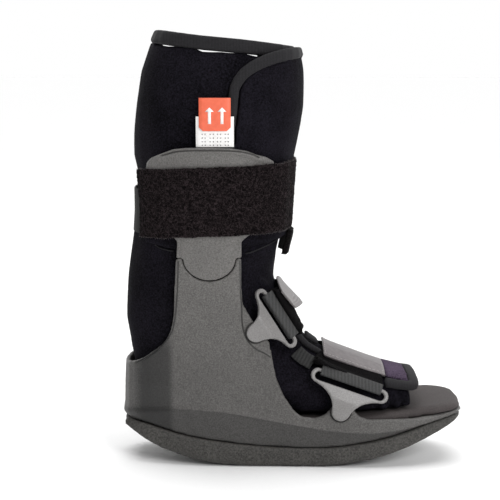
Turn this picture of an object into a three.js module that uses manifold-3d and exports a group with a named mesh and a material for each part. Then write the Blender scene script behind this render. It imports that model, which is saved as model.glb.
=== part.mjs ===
// A medical walking boot in millimetres: toe towards +X, the near side towards -Y, +Z up.
// A moulded shell on a rocker sole carries two struts, and a padded fabric boot is
// strapped into it. The origin is at the bottom centre of the boot's box.
import * as THREE from 'three';
import { mergeVertices } from 'three/addons/utils/BufferGeometryUtils.js';
import Module from 'manifold-3d';

const wasm = await Module();
wasm.setup();

// Driving sizes
const bootLength = 285;
const bootHeight = 357;
const soleWidth = 106;
const calfWidth = 120;

// Clearances between neighbouring pieces
const gap = 0.4;
const seat = 0.3;
const softGap = 0.8;
const bindingGap = 0.6;

// Walls of the moulded pieces
const shellWall = 3.6;
const strutWall = 4;
const strutLip = 1.4;
const lipHeight = 4;
const earRecess = 1.2;
const trayLean = 1.2;

// Walls of the soft pieces
const linerWall = 7;
const linerSoleWall = 5;
const panelWall = 3;
const strapWall = 2.4;
const webbingWall = 2;
const toeFlapWall = 5;
const bandTabWall = 5;
const bindingWidth = 7.5;
const bindingWall = 4;
const footBindingWidth = 8;
const footBindingWall = 5;
const collarHeight = 8;

// Outsole: its inset at the ground, just above it and at the seam, and its tread
const groundInset = 5;
const cornerInset = 1.6;
const outsoleInset = 1.2;
const outsoleCorner = 2;
const treadPitch = 10;
const treadWidth = 2.4;
const treadDepth = 1.4;
const treadReach = 0.46;

// Shell: its inset at the seam and just under its widest line, and the tray's rise above
const seamInset = 3.2;
const chineInset = 0.7;
const chineDrop = 1.2;
const trayRise = 5;
const hollowRise = 9;

// Footbed: its bevelled edge, and its inset and the hollow's overrun at the open toe
const footbedBevel = 3.5;
const footbedToeInset = 1.2;
const toeOverrun = 3;

// Straps and buckles
const calfStrapWidth = 56;
const backStrapWidth = 37;
const upperStrapWidth = 43;
const lowerStrapWidth = 53.5;
const keeperWidth = 14;
const buckleWall = 3;
const buckleApex = 7.5;
const buckleCorner = 6;
const buckleReach = 23.2;
const buckleBend = 9;
const buckleArc = 0.92;
const neckFlare = 1.25;
const neckAt = 0.55;
const slotHalf = 3.6;
const slotSlack = 1.2;
const slotInset = 1;
const slotDrop = 0.4;
const barWidth = 3;

// Tags
const sleeveTag = { width: 30, height: 24, wall: 0.8, corner: 0 };
const pullTab = { width: 25, height: 26, wall: 0.8, corner: 3 };

// Facets round each section
const soleStations = 23;
const legSides = 28;
const strutSides = 36;

// Places along the boot and up it are shares of its length and height
const lengthAt = (share) => share * bootLength;
const heightAt = (share) => share * bootHeight;

// Half widths and roundness of the sole, from heel to toe
const soleRows = [
  { at: -0.5, half: 0.44 },
  { at: -0.3, half: 0.452 },
  { at: -0.1, half: 0.46 },
  { at: 0.1, half: 0.478 },
  { at: 0.25, half: 0.5 },
  { at: 0.38, half: 0.485 },
  { at: 0.5, half: 0.45 },
];
const heelPower = 3.6;
const toePower = 4.5;

// Heights of the sole's lines: rocker, seam, widest line, and the footbed's two faces
const lineRows = [
  { at: -0.5, rocker: 0.095, seam: 0.102, chine: 0.115, bed: 0.114, top: 0.13 },
  { at: -0.453, rocker: 0.076, seam: 0.097, chine: 0.119, bed: 0.11, top: 0.127 },
  { at: -0.418, rocker: 0.054, seam: 0.092, chine: 0.122, bed: 0.107, top: 0.125 },
  { at: -0.35, rocker: 0.026, seam: 0.077, chine: 0.127, bed: 0.102, top: 0.121 },
  { at: -0.277, rocker: 0.0105, seam: 0.065, chine: 0.13, bed: 0.096, top: 0.118 },
  { at: -0.207, rocker: 0.0028, seam: 0.057, chine: 0.131, bed: 0.092, top: 0.115 },
  { at: -0.14, rocker: 0, seam: 0.051, chine: 0.123, bed: 0.089, top: 0.112 },
  { at: -0.03, rocker: 0, seam: 0.045, chine: 0.105, bed: 0.086, top: 0.108 },
  { at: 0.09, rocker: 0, seam: 0.0445, chine: 0.089, bed: 0.088, top: 0.111 },
  { at: 0.15, rocker: 0.0048, seam: 0.049, chine: 0.084, bed: 0.091, top: 0.115 },
  { at: 0.23, rocker: 0.017, seam: 0.061, chine: 0.083, bed: 0.097, top: 0.121 },
  { at: 0.31, rocker: 0.035, seam: 0.077, chine: 0.09, bed: 0.107, top: 0.13 },
  { at: 0.38, rocker: 0.058, seam: 0.097, chine: 0.103, bed: 0.117, top: 0.136 },
  { at: 0.44, rocker: 0.079, seam: 0.109, chine: 0.1145, bed: 0.1235, top: 0.14 },
  { at: 0.5, rocker: 0.1, seam: 0.119, chine: 0.1225, bed: 0.1265, top: 0.141 },
];

// The hollow's inset runs out past the wall at the toe, where the footbed lies on top
const toeOpenFrom = 0.37;
const toeOpenTo = 0.43;

// Calf sections of the liner, from the ankle up
const calfRows = [
  { at: 0.4258, back: -0.477, front: -0.049, half: 0.388 },
  { at: 0.482, back: -0.467, front: -0.042, half: 0.408 },
  { at: 0.546, back: -0.454, front: -0.024, half: 0.433 },
  { at: 0.616, back: -0.451, front: -0.018, half: 0.456 },
  { at: 0.695, back: -0.454, front: -0.013, half: 0.474 },
  { at: 0.77, back: -0.4595, front: 0.006, half: 0.488 },
  { at: 0.84, back: -0.4525, front: 0.018, half: 0.497 },
  { at: 0.927, back: -0.435, front: 0.0155, half: 0.496 },
  { at: 1.01, back: -0.392, front: -0.016, half: 0.476 },
];
const calfPower = 2.4;
const collarTilt = 0.0185;
const collarAt = 0.9795;

// Foot sections of the liner, from the ankle to the toe: each plane's front and back points
const footRows = [
  { at: 0, frontX: -0.049, frontZ: 0.4258, backX: -0.477, backZ: 0.4258, half: 0.439, power: 2.4 },
  { at: 1, frontX: -0.028, frontZ: 0.392, backX: -0.483, backZ: 0.345, half: 0.421, power: 2.4 },
  { at: 2, frontX: -0.007, frontZ: 0.3585, backX: -0.479, backZ: 0.273, half: 0.411, power: 2.4 },
  { at: 3, frontX: 0.0105, frontZ: 0.3275, backX: -0.462, backZ: 0.205, half: 0.4, power: 2.4 },
  { at: 4, frontX: 0.0315, frontZ: 0.2995, backX: -0.42, backZ: 0.152, half: 0.396, power: 2.4 },
  { at: 5, frontX: 0.056, frontZ: 0.28, backX: -0.345, backZ: 0.128, half: 0.398, power: 2.4 },
  { at: 6, frontX: 0.0807, frontZ: 0.2645, backX: -0.21, backZ: 0.1195, half: 0.4, power: 2.3 },
  { at: 7, frontX: 0.119, frontZ: 0.249, backX: -0.035, backZ: 0.1125, half: 0.402, power: 2.3 },
  { at: 8, frontX: 0.168, frontZ: 0.2325, backX: 0.105, backZ: 0.1155, half: 0.403, power: 2.3 },
  { at: 9, frontX: 0.2245, frontZ: 0.2155, backX: 0.21, backZ: 0.123, half: 0.4, power: 2.3 },
  { at: 10, frontX: 0.288, frontZ: 0.199, backX: 0.288, backZ: 0.131, half: 0.393, power: 2.3 },
  { at: 11, frontX: 0.337, frontZ: 0.1875, backX: 0.337, backZ: 0.1365, half: 0.383, power: 2.3 },
  { at: 12, frontX: 0.372, frontZ: 0.1815, backX: 0.366, backZ: 0.1395, half: 0.372, power: 2.3 },
];
const linerEnd = 11;

// Shell sections between the tray and the leg
const uprightRows = [
  { at: 0.19, back: -0.494, front: 0.47, half: 0.466, power: 3.4 },
  { at: 0.24, back: -0.491, front: 0.33, half: 0.47, power: 3.2 },
  { at: 0.3, back: -0.49, front: 0.17, half: 0.476, power: 3 },
  { at: 0.365, back: -0.49, front: 0.06, half: 0.49, power: 2.7 },
];
const legJoinRows = [0.43, 0.51];
const hollowTop = 0.56;

// Offsets of the layers outside the liner's calf
const strutInner = softGap + panelWall + gap;
const strutOuter = strutInner + strutWall;

// Value of one column along a table, on a smooth curve through its rows that is level
// where they stop rising or falling
function along(rows, at, column) {
  const last = rows.length - 1;
  const place = THREE.MathUtils.clamp(at, rows[0].at, rows[last].at);
  let low = 0;
  while (low < last - 1 && place > rows[low + 1].at) {
    low += 1;
  }
  const slope = (row) => {
    const before = rows[Math.max(row - 1, 0)];
    const after = rows[Math.min(row + 1, last)];
    const here = rows[row][column];
    const level = row > 0 && row < last && (after[column] - here) * (here - before[column]) <= 0;
    return level ? 0 : (after[column] - before[column]) / (after.at - before.at);
  };
  const span = rows[low + 1].at - rows[low].at;
  const t = (place - rows[low].at) / span;
  const start = (1 + 2 * t) * (1 - t) ** 2 * rows[low][column];
  const end = (3 - 2 * t) * t ** 2 * rows[low + 1][column];
  return start + end + span * t * (1 - t) * ((1 - t) * slope(low) - t * slope(low + 1));
}

// Closed skin over rings of equally many points; open ends are capped across each ring
function skin(rings, loop = false) {
  const count = rings[0].length;
  const index = [];
  const triangle = (a, b, c) => {
    if (a !== b && b !== c && c !== a) {
      index.push(a, b, c);
    }
  };
  const quad = (a, b, c, d) => {
    triangle(a, b, c);
    triangle(a, c, d);
  };
  const bands = loop ? rings.length : rings.length - 1;
  for (let band = 0; band < bands; band += 1) {
    const low = band * count;
    const high = ((band + 1) % rings.length) * count;
    for (let i = 0; i < count; i += 1) {
      const j = (i + 1) % count;
      quad(low + i, low + j, high + j, high + i);
    }
  }
  const cap = (start, turned) => {
    for (let i = 0; i < count / 2; i += 1) {
      const corners = [i, i + 1, (count - i - 1) % count, (count - i) % count];
      const ordered = turned ? corners : corners.reverse();
      quad(...ordered.map((corner) => start + corner));
    }
  };
  if (!loop) {
    cap(0, false);
    cap((rings.length - 1) * count, true);
  }
  const points = rings.flat();
  let volume = 0;
  const edge = new THREE.Vector3();
  for (let i = 0; i < index.length; i += 3) {
    edge.crossVectors(points[index[i + 1]], points[index[i + 2]]);
    volume += points[index[i]].dot(edge);
  }
  const geometry = new THREE.BufferGeometry().setFromPoints(points);
  geometry.setIndex(volume < 0 ? index.reverse() : index);
  return geometry;
}

// Solids for cutting and joining, and the geometry of the result
function solidOf(geometry) {
  const bare = geometry.clone();
  bare.deleteAttribute('normal');
  bare.deleteAttribute('uv');
  const merged = mergeVertices(bare, 1e-4);
  const vertProperties = new Float32Array(merged.attributes.position.array);
  const triVerts = new Uint32Array(merged.index.array);
  return new wasm.Manifold(new wasm.Mesh({ numProp: 3, vertProperties, triVerts }));
}

function geometryOf(solid) {
  const mesh = solid.getMesh();
  const geometry = new THREE.BufferGeometry();
  geometry.setAttribute('position', new THREE.BufferAttribute(mesh.vertProperties, 3));
  geometry.setIndex(new THREE.BufferAttribute(mesh.triVerts, 1));
  return geometry;
}

// The largest of the bodies that a cut leaves
function largestOf(solid) {
  return solid.decompose().reduce((best, body) => (body.volume() > best.volume() ? body : best));
}

// Prism of a side view (X, Z), from one Y to another
function sidePrism(shape, fromY, toY, curveSegments = 12) {
  const depth = toY - fromY;
  const geometry = new THREE.ExtrudeGeometry(shape, { depth, bevelEnabled: false, curveSegments });
  geometry.rotateX(Math.PI / 2);
  geometry.translate(0, toY, 0);
  return solidOf(geometry);
}

function outlineOf(points) {
  return new THREE.Shape(points.map(([x, z]) => new THREE.Vector2(lengthAt(x), heightAt(z))));
}

// Point on a rounded section: c runs from -1 at one end to 1 at the other
function sectionHalf(c, power) {
  return (1 - Math.abs(c) ** power) ** (1 / power);
}

// Ring of the sole's plan; inset and height follow the place along the boot
function soleRing(inset, height) {
  const ring = [];
  for (let i = 0; i < 2 * soleStations; i += 1) {
    const c = Math.cos((Math.PI * i) / soleStations);
    const at = c / 2;
    const margin = inset(at);
    const half = along(soleRows, at, 'half') * soleWidth - margin;
    const side = i < soleStations ? -1 : 1;
    const y = side * half * sectionHalf(c, c < 0 ? heelPower : toePower);
    ring.push(new THREE.Vector3(c * (bootLength / 2 - margin), y, height(at)));
  }
  return ring;
}

const lineHeight = (column, lift = 0) => (at) => heightAt(along(lineRows, at, column)) + lift;

// Point on the calf at a height, by its angle round the leg: 0 at the front, 90 near side
function calfPoint(height, angle, offset) {
  const share = height / bootHeight;
  const back = lengthAt(along(calfRows, share, 'back'));
  const front = lengthAt(along(calfRows, share, 'front'));
  const half = along(calfRows, share, 'half') * calfWidth + offset;
  const long = (front - back) / 2 + offset;
  const turn = THREE.MathUtils.degToRad(angle);
  const bow = 2 / calfPower;
  const x = (front + back) / 2 + long * Math.sign(Math.cos(turn)) * Math.abs(Math.cos(turn)) ** bow;
  const y = -half * Math.sign(Math.sin(turn)) * Math.abs(Math.sin(turn)) ** bow;
  return new THREE.Vector3(x, y, height);
}

// Point on the foot at a section, by its angle round the section's plane
function footPoint(at, angle, offset) {
  const value = (column) => along(footRows, at, column);
  const front = new THREE.Vector3(lengthAt(value('frontX')), 0, heightAt(value('frontZ')));
  const back = new THREE.Vector3(lengthAt(value('backX')), 0, heightAt(value('backZ')));
  const middle = front.clone().add(back).multiplyScalar(0.5);
  const reach = front.clone().sub(back).normalize();
  const long = front.distanceTo(back) / 2 + offset;
  const turn = THREE.MathUtils.degToRad(angle);
  const bow = 2 / value('power');
  const ahead = Math.sign(Math.cos(turn)) * Math.abs(Math.cos(turn)) ** bow;
  const aside = Math.sign(Math.sin(turn)) * Math.abs(Math.sin(turn)) ** bow;
  const point = middle.addScaledVector(reach, long * ahead);
  point.y = -(value('half') * soleWidth + offset) * aside;
  return point;
}

const ringAngles = Array.from({ length: legSides }, (_, i) => (360 * i) / legSides);

// Height of the collar's top edge, which falls from the back to the front
function collarHeightAt(angle) {
  return heightAt(collarAt - collarTilt * Math.cos(THREE.MathUtils.degToRad(angle)));
}

// Strip on a surface: it runs along one coordinate between two edges of the other
function strip(surface, { from, to, steps, low, high, across, lift, wall, loop = false }) {
  const rings = [];
  const stops = loop ? steps - 1 : steps;
  for (let i = 0; i <= stops; i += 1) {
    const run = from + ((to - from) * i) / steps;
    const outer = [];
    const inner = [];
    for (let j = 0; j <= across; j += 1) {
      const place = low(run) + ((high(run) - low(run)) * j) / across;
      inner.unshift(surface(place, run, lift(run, place)));
      outer.push(surface(place, run, lift(run, place) + wall));
    }
    rings.push([...outer, ...inner]);
  }
  return skin(rings, loop);
}

// Ribbon of one width along a path of points on a surface, standing off it by a lift.
// Its long edges are bevelled; a spread widens it, and thickens it by more, for cutting.
const ribbonBevel = 0.15;
const ribbonDrop = 0.25;
const ribbonDeepen = 4;

function ribbon(surface, path, { width, lift, wall, spread = 0 }) {
  const points = path.map(([place, run]) => surface(place, run, lift));
  const nudge = 0.05;
  const outs = path.map(([place, run], i) => {
    const upward = surface(place + nudge, run, lift).sub(points[i]);
    const around = surface(place, run + nudge, lift).sub(points[i]);
    const normal = upward.cross(around).normalize();
    const away = surface(place, run, lift + 1).sub(points[i]);
    return normal.dot(away) < 0 ? normal.negate() : normal;
  });
  const rings = points.map((point, i) => {
    const before = points[Math.max(i - 1, 0)];
    const after = points[Math.min(i + 1, points.length - 1)];
    const out = outs[i];
    const side = after.clone().sub(before).cross(out).normalize();
    const corner = (across, up) => point.clone().addScaledVector(side, across).addScaledVector(out, up);
    const edge = width / 2 + spread;
    const flat = edge - width * ribbonBevel;
    const foot = -ribbonDeepen * spread;
    const top = wall - foot;
    const shoulder = top - wall * ribbonDrop;
    return [
      corner(-edge, shoulder),
      corner(-flat, top),
      corner(flat, top),
      corner(edge, shoulder),
      corner(edge, foot),
      corner(-edge, foot),
    ];
  });
  return skin(rings);
}

// Rubber outsole on the rocker, with grooves across it
function outsole() {
  const rings = [
    soleRing(() => groundInset, lineHeight('rocker')),
    soleRing(() => cornerInset, lineHeight('rocker', outsoleCorner)),
    soleRing(() => outsoleInset, lineHeight('seam')),
  ];
  const grooves = [];
  const reach = bootLength * treadReach;
  for (let x = -reach; x <= reach; x += treadPitch) {
    const at = x / bootLength;
    const step = 0.01;
    const rise = heightAt(along(lineRows, at + step, 'rocker') - along(lineRows, at - step, 'rocker'));
    const groove = new THREE.BoxGeometry(treadWidth, soleWidth * 2, treadDepth * 2);
    groove.rotateY(-Math.atan2(rise, 2 * step * bootLength));
    groove.translate(x, 0, heightAt(along(lineRows, at, 'rocker')));
    grooves.push(solidOf(groove));
  }
  return geometryOf(solidOf(skin(rings)).subtract(wasm.Manifold.union(grooves)));
}

// Rings of the shell's outer form, each drawn in by an inset
function shellRings(inset) {
  const rings = [
    soleRing(() => inset + seamInset, lineHeight('seam', seat)),
    soleRing(() => inset + chineInset, lineHeight('chine', -chineDrop)),
    soleRing(() => inset, lineHeight('chine')),
    soleRing(() => inset + trayLean, lineHeight('chine', trayRise)),
  ];
  return [...rings, ...legRings(-inset)];
}

// Rings of the uprights above the tray
function legRings(offset) {
  const uprights = uprightRows.map((row) => {
    const ring = [];
    for (let i = 0; i < 2 * soleStations; i += 1) {
      const c = Math.cos((Math.PI * i) / soleStations);
      const middle = lengthAt(row.back + row.front) / 2;
      const long = lengthAt(row.front - row.back) / 2 + offset;
      const side = i < soleStations ? -1 : 1;
      const y = side * (row.half * soleWidth + offset) * sectionHalf(c, row.power);
      ring.push(new THREE.Vector3(middle + c * long, y, heightAt(row.at)));
    }
    return ring;
  });
  const joins = legJoinRows.map((share) => calfRing(heightAt(share), strutOuter + offset));
  return [...uprights, ...joins];
}

function calfRing(height, offset, sides = 2 * soleStations) {
  return Array.from({ length: sides }, (_, i) => calfPoint(height, (360 * i) / sides, offset));
}

// Side views of the shell's rim, the ears' steps and the key under the upper strut
const shoulderAt = 0.488;
const keyCentre = -0.238;
const keyHalf = 0.0745;
const keyDepth = 0.051;
const rimRight = [
  [0.56, 0.1285], [0.5, 0.1285], [0.44, 0.1255], [0.385, 0.1185], [0.35, 0.115], [0.215, 0.115],
  [0.19, 0.122], [0.175, 0.135], [0.16, 0.15], [0.118, 0.15], [0.105, 0.136], [0.09, 0.124],
  [0.065, 0.117], [0.04, 0.118], [0.022, 0.121], [0.002, 0.135], [-0.026, 0.168],
  [-0.047, 0.208], [-0.057, 0.243], [-0.064, 0.282], [-0.067, 0.293], [-0.117, 0.345],
  [-0.131, 0.364], [-0.145, 0.387], [-0.1475, 0.42],
];
const rimLeft = [
  [-0.333, 0.482], [-0.336, 0.439], [-0.34, 0.374], [-0.343, 0.342], [-0.351, 0.317],
  [-0.36, 0.302], [-0.375, 0.286], [-0.393, 0.274], [-0.43, 0.251], [-0.455, 0.2405],
  [-0.5, 0.229], [-0.56, 0.229],
];

// Key outline between the two shoulders, grown or shrunk by a clearance
function keyArc(clearance) {
  const points = [];
  const steps = 12;
  for (let i = 0; i <= steps; i += 1) {
    const turn = (Math.PI * i) / steps;
    const x = keyCentre + (keyHalf + clearance / bootLength) * Math.cos(turn);
    points.push([x, shoulderAt - (keyDepth + clearance / bootHeight) * Math.sin(turn)]);
  }
  return points;
}

function shell() {
  const outer = solidOf(skin(shellRings(0)));
  const inside = (at) => {
    const open = THREE.MathUtils.smoothstep(at, toeOpenFrom, toeOpenTo);
    return THREE.MathUtils.lerp(shellWall + trayLean, -toeOverrun, open);
  };
  const hollowRings = [
    soleRing(inside, lineHeight('bed', -seat)),
    soleRing(inside, lineHeight('bed', hollowRise)),
    ...legRings(-shellWall),
    calfRing(heightAt(hollowTop), strutOuter - shellWall),
  ];
  const hollow = solidOf(skin(hollowRings));
  const outline = outlineOf([
    [-0.56, -0.05], [0.56, -0.05], ...rimRight,
    [-0.1475, shoulderAt], ...keyArc(seat), [-0.3305, shoulderAt], ...rimLeft,
  ]);
  const silhouette = sidePrism(outline, -soleWidth, soleWidth);
  const ear = outlineOf([
    [-0.145, 0.347], [-0.139, 0.32], [-0.127, 0.3], [-0.111, 0.286], [-0.091, 0.275],
    [-0.0715, 0.264], [0, 0.264], [0, 0.42], [-0.145, 0.42],
  ]);
  const recess = sidePrism(ear, -soleWidth, soleWidth);
  const recessed = recess.subtract(solidOf(skin(shellRings(earRecess))));
  return geometryOf(outer.subtract(hollow).intersect(silhouette).subtract(recessed));
}

// Steps of the footbed's rounded edge, as shares of its bevel
const bevelRows = [
  { inset: 0, drop: 0.7 },
  { inset: 0.6, drop: 0.1 },
  { inset: 1.6, drop: 0 },
];

function footbed() {
  const inside = (at) => {
    const open = THREE.MathUtils.smoothstep(at, toeOpenFrom, toeOpenTo);
    return THREE.MathUtils.lerp(shellWall + trayLean + seat, footbedToeInset, open);
  };
  const bevels = bevelRows.map(({ inset, drop }) => soleRing(
    (at) => inside(at) + footbedBevel * inset,
    lineHeight('top', -footbedBevel * drop),
  ));
  return skin([soleRing(inside, lineHeight('bed')), ...bevels]);
}

// Side view of an upper strut: a neck keyed into the shell and a wide head
function strutOutline(drop) {
  const points = [
    [-0.1475, shoulderAt], [-0.1475, 0.526], [-0.115, 0.547], [-0.083, 0.575],
    [-0.05, 0.65], [-0.057, 0.7045], [-0.08, 0.716], [-0.103, 0.7205], [-0.132, 0.73],
    [-0.174, 0.736], [-0.23, 0.738], [-0.3, 0.737], [-0.335, 0.734], [-0.372, 0.723],
    [-0.4, 0.713], [-0.413, 0.702], [-0.415, 0.686], [-0.415, 0.62], [-0.372, 0.566],
    [-0.328, 0.527], [-0.3305, shoulderAt],
  ];
  const lifted = points.map(([x, z]) => [x, z + (seat - drop) / bootHeight]);
  const key = keyArc(0).reverse().map(([x, z]) => [x, z + (seat - drop) / bootHeight]);
  return outlineOf([...lifted, ...key]);
}

// Levels of the strut's sections, and the view in which the raised lip shows
const strutLevels = [0.42, 0.49, 0.56, 0.63, 0.7, 0.75];
const strutCore = [0.4, 0.77];
const lipView = [[-0.385, 0.7], [-0.085, 0.7], [-0.085, 0.8], [-0.385, 0.8]];

function upperStrut(side) {
  const heights = strutLevels.map(heightAt);
  const wall = (inner, outer) => {
    const core = [heightAt(strutCore[0]), ...heights.slice(1, -1), heightAt(strutCore[1])];
    const solid = (stops, offset) => solidOf(skin(stops.map((stop) => calfRing(stop, offset, strutSides))));
    return solid(heights, outer).subtract(solid(core, inner));
  };
  const [fromY, toY] = side < 0 ? [-calfWidth, 0] : [0, calfWidth];
  const form = sidePrism(strutOutline(0), fromY, toY);
  const plate = wall(strutInner, strutOuter).intersect(form);
  const lipForm = form.subtract(sidePrism(strutOutline(lipHeight), fromY, toY));
  const topOnly = sidePrism(outlineOf(lipView), fromY, toY);
  const lip = wall(strutOuter - 1, strutOuter + strutLip).intersect(lipForm).intersect(topOnly);
  return geometryOf(plate.add(lip));
}

// Padded boot, hollow from the collar to the open toe
function linerRings(inner) {
  const topDrop = collarHeight + gap;
  const rings = [];
  const calfSteps = inner ? 5 : 8;
  const ankle = heightAt(footRows[0].frontZ);
  for (let i = 0; i < calfSteps; i += 1) {
    const share = i / calfSteps;
    rings.push(ringAngles.map((angle) => {
      const top = collarHeightAt(angle) - topDrop;
      return calfPoint(top + (ankle - top) * share, angle, inner ? -linerWall : 0);
    }));
  }
  const footSteps = inner ? 7 : 11;
  for (let i = 0; i <= footSteps; i += 1) {
    const at = (linerEnd * i) / footSteps;
    const wall = THREE.MathUtils.lerp(linerWall, linerSoleWall, Math.min(at / 4, 1));
    rings.push(ringAngles.map((angle) => footPoint(at, angle, inner ? -wall : 0)));
  }
  return rings;
}

function linerBoot() {
  const rings = [...linerRings(false), ...linerRings(true).reverse()];
  return skin(rings, true);
}

function collarBinding() {
  return strip((height, angle, offset) => calfPoint(height, angle, offset), {
    from: 0, to: 360, steps: legSides, loop: true, across: 1,
    low: (angle) => collarHeightAt(angle) - collarHeight,
    high: collarHeightAt,
    lift: () => -linerWall,
    wall: linerWall,
  });
}

// Front panel that laps over on the near side; its edge curves forward near the top
const flapBottom = 0.66;
const flapTurn = 0.84;
const flapTop = 0.948;
const flapNear = 82;
const flapFar = -66;
const flapPower = 3;
const bindingBottom = 0.745;

// Path of the panel's bound edge: up the near side, round the top and to the far side
function flapPath() {
  const path = [];
  const rise = 4;
  for (let i = 0; i <= rise; i += 1) {
    path.push([heightAt(bindingBottom + ((flapTurn - bindingBottom) * i) / rise), flapNear]);
  }
  const bend = 12;
  for (let i = 1; i <= bend; i += 1) {
    const turn = (Math.PI / 2) * (i / bend);
    const up = Math.sin(turn) ** (2 / flapPower);
    const round = Math.cos(turn) ** (2 / flapPower);
    path.push([heightAt(flapTurn + (flapTop - flapTurn) * up), flapNear * round]);
  }
  const far = 6;
  for (let i = 1; i <= far; i += 1) {
    path.push([heightAt(flapTop), (flapFar * i) / far]);
  }
  return path;
}

function flapBindingSolid(spread) {
  return solidOf(ribbon(calfPoint, flapPath(), {
    width: bindingWidth, lift: softGap + gap, wall: bindingWall, spread,
  }));
}

function linerFlap() {
  const panel = strip((angle, height, offset) => calfPoint(height, angle, offset), {
    from: heightAt(flapBottom), to: heightAt(flapTop), steps: 7, across: 16,
    low: () => flapFar,
    high: () => flapNear,
    lift: () => softGap,
    wall: panelWall,
  });
  return geometryOf(largestOf(solidOf(panel).subtract(flapBindingSolid(bindingGap))));
}

// Fabric band under the struts, whose hem dips at the neck
const bandEnd = 140;
const bandLow = 0.497;
const bandRise = 0.03;
const bandTop = 0.65;

function calfBand() {
  return strip(calfPoint, {
    from: -bandEnd, to: bandEnd, steps: 30, across: 2,
    low: (angle) => heightAt(bandLow + bandRise * Math.abs(Math.cos(THREE.MathUtils.degToRad(angle)))),
    high: () => heightAt(bandTop),
    lift: () => softGap,
    wall: panelWall,
  });
}

const bandTabSpan = { from: -24, to: 16, low: 0.483, high: 0.542 };

function bandTab() {
  return strip(calfPoint, {
    from: bandTabSpan.from, to: bandTabSpan.to, steps: 4, across: 3,
    low: () => heightAt(bandTabSpan.low),
    high: () => heightAt(bandTabSpan.high),
    lift: () => softGap + panelWall + gap,
    wall: bandTabWall,
  });
}

// Calf strap: over the strut heads at the sides, down to the soft layers front and back
const strapEnd = 153;
const strapFallFrom = 145;
const headFrom = 22;
const headTo = 38;
const strapAt = 0.617;
const strapTilt = 0.009;
const strapEndShare = 0.86;
const strapCornerRun = 8;
const strapOverHead = strutOuter + gap;
const strapOverPanel = softGap + panelWall + gap;
const strapOverBack = softGap + webbingWall + gap;

function calfStrapLift(angle) {
  const turn = Math.abs(angle);
  const onHead = THREE.MathUtils.smoothstep(turn, headFrom, headTo);
  const front = THREE.MathUtils.lerp(strapOverPanel, strapOverHead, onHead);
  const fall = THREE.MathUtils.smoothstep(turn, strapFallFrom, strapEnd);
  return THREE.MathUtils.lerp(front, strapOverBack, fall);
}

function strapMiddle(angle) {
  return heightAt(strapAt + strapTilt * Math.cos(THREE.MathUtils.degToRad(angle)));
}

function calfStrap() {
  const half = (angle) => {
    const near = Math.min((strapEnd - Math.abs(angle)) / strapCornerRun, 1);
    const round = Math.sqrt(1 - (1 - near) ** 2);
    return (calfStrapWidth / 2) * THREE.MathUtils.lerp(strapEndShare, 1, round);
  };
  return strip(calfPoint, {
    from: -strapEnd, to: strapEnd, steps: 44, across: 2,
    low: (angle) => strapMiddle(angle) - half(angle),
    high: (angle) => strapMiddle(angle) + half(angle),
    lift: calfStrapLift,
    wall: strapWall,
  });
}

const backStrapSpan = { from: 147, to: 213, at: 0.588 };

function backStrap() {
  const middle = heightAt(backStrapSpan.at);
  return strip(calfPoint, {
    from: backStrapSpan.from, to: backStrapSpan.to, steps: 10, across: 2,
    low: () => middle - backStrapWidth / 2,
    high: () => middle + backStrapWidth / 2,
    lift: () => softGap,
    wall: webbingWall,
  });
}

// Padded flap over the toes and the bound edge round it
const toeFlapFrom = 9.75;
const toeFlapTo = 12;
const toeFlapSide = 60;
const toeEdge = 0.25;
const toeCorner = 0.08;
const toeTuck = 0.93;

function toePath() {
  const path = [];
  const side = 4;
  const last = toeFlapTo - toeEdge;
  const sideAt = (i) => toeFlapFrom + ((last - toeFlapFrom - toeEdge) * i) / side;
  for (let i = 0; i <= side; i += 1) {
    path.push([sideAt(i), toeFlapSide]);
  }
  const front = 10;
  for (let i = 0; i <= front; i += 1) {
    const turn = toeFlapSide * (1 - (2 * i) / front);
    path.push([i === 0 || i === front ? last - toeCorner : last, turn * toeTuck]);
  }
  for (let i = side; i >= 0; i -= 1) {
    path.push([sideAt(i), -toeFlapSide]);
  }
  return path;
}

function toeBindingSolid(spread) {
  return solidOf(ribbon(footPoint, toePath(), {
    width: footBindingWidth, lift: softGap, wall: footBindingWall, spread,
  }));
}

function toeFlap() {
  const panel = strip((angle, at, offset) => footPoint(at, angle, offset), {
    from: toeFlapFrom + toeCorner, to: toeFlapTo - toeEdge, steps: 3, across: 10,
    low: () => -toeFlapSide,
    high: () => toeFlapSide,
    lift: () => softGap,
    wall: toeFlapWall,
  });
  return geometryOf(largestOf(solidOf(panel).subtract(toeBindingSolid(bindingGap))));
}

// Straight ribbons between the foot straps: sections and angles of the foot at their ends
const instepBindingEnds = { from: [4.25, 14], to: [5.6, 9], width: 9, wall: panelWall };
const keeperEnds = { from: [6.1, 49], to: [4.95, 44], width: keeperWidth, wall: webbingWall };

function footRibbon({ from, to, width, wall }) {
  const steps = 5;
  const path = Array.from({ length: steps + 1 }, (_, i) => [
    THREE.MathUtils.lerp(from[0], to[0], i / steps),
    THREE.MathUtils.lerp(from[1], to[1], i / steps),
  ]);
  return ribbon(footPoint, path, { width, lift: softGap, wall });
}

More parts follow.
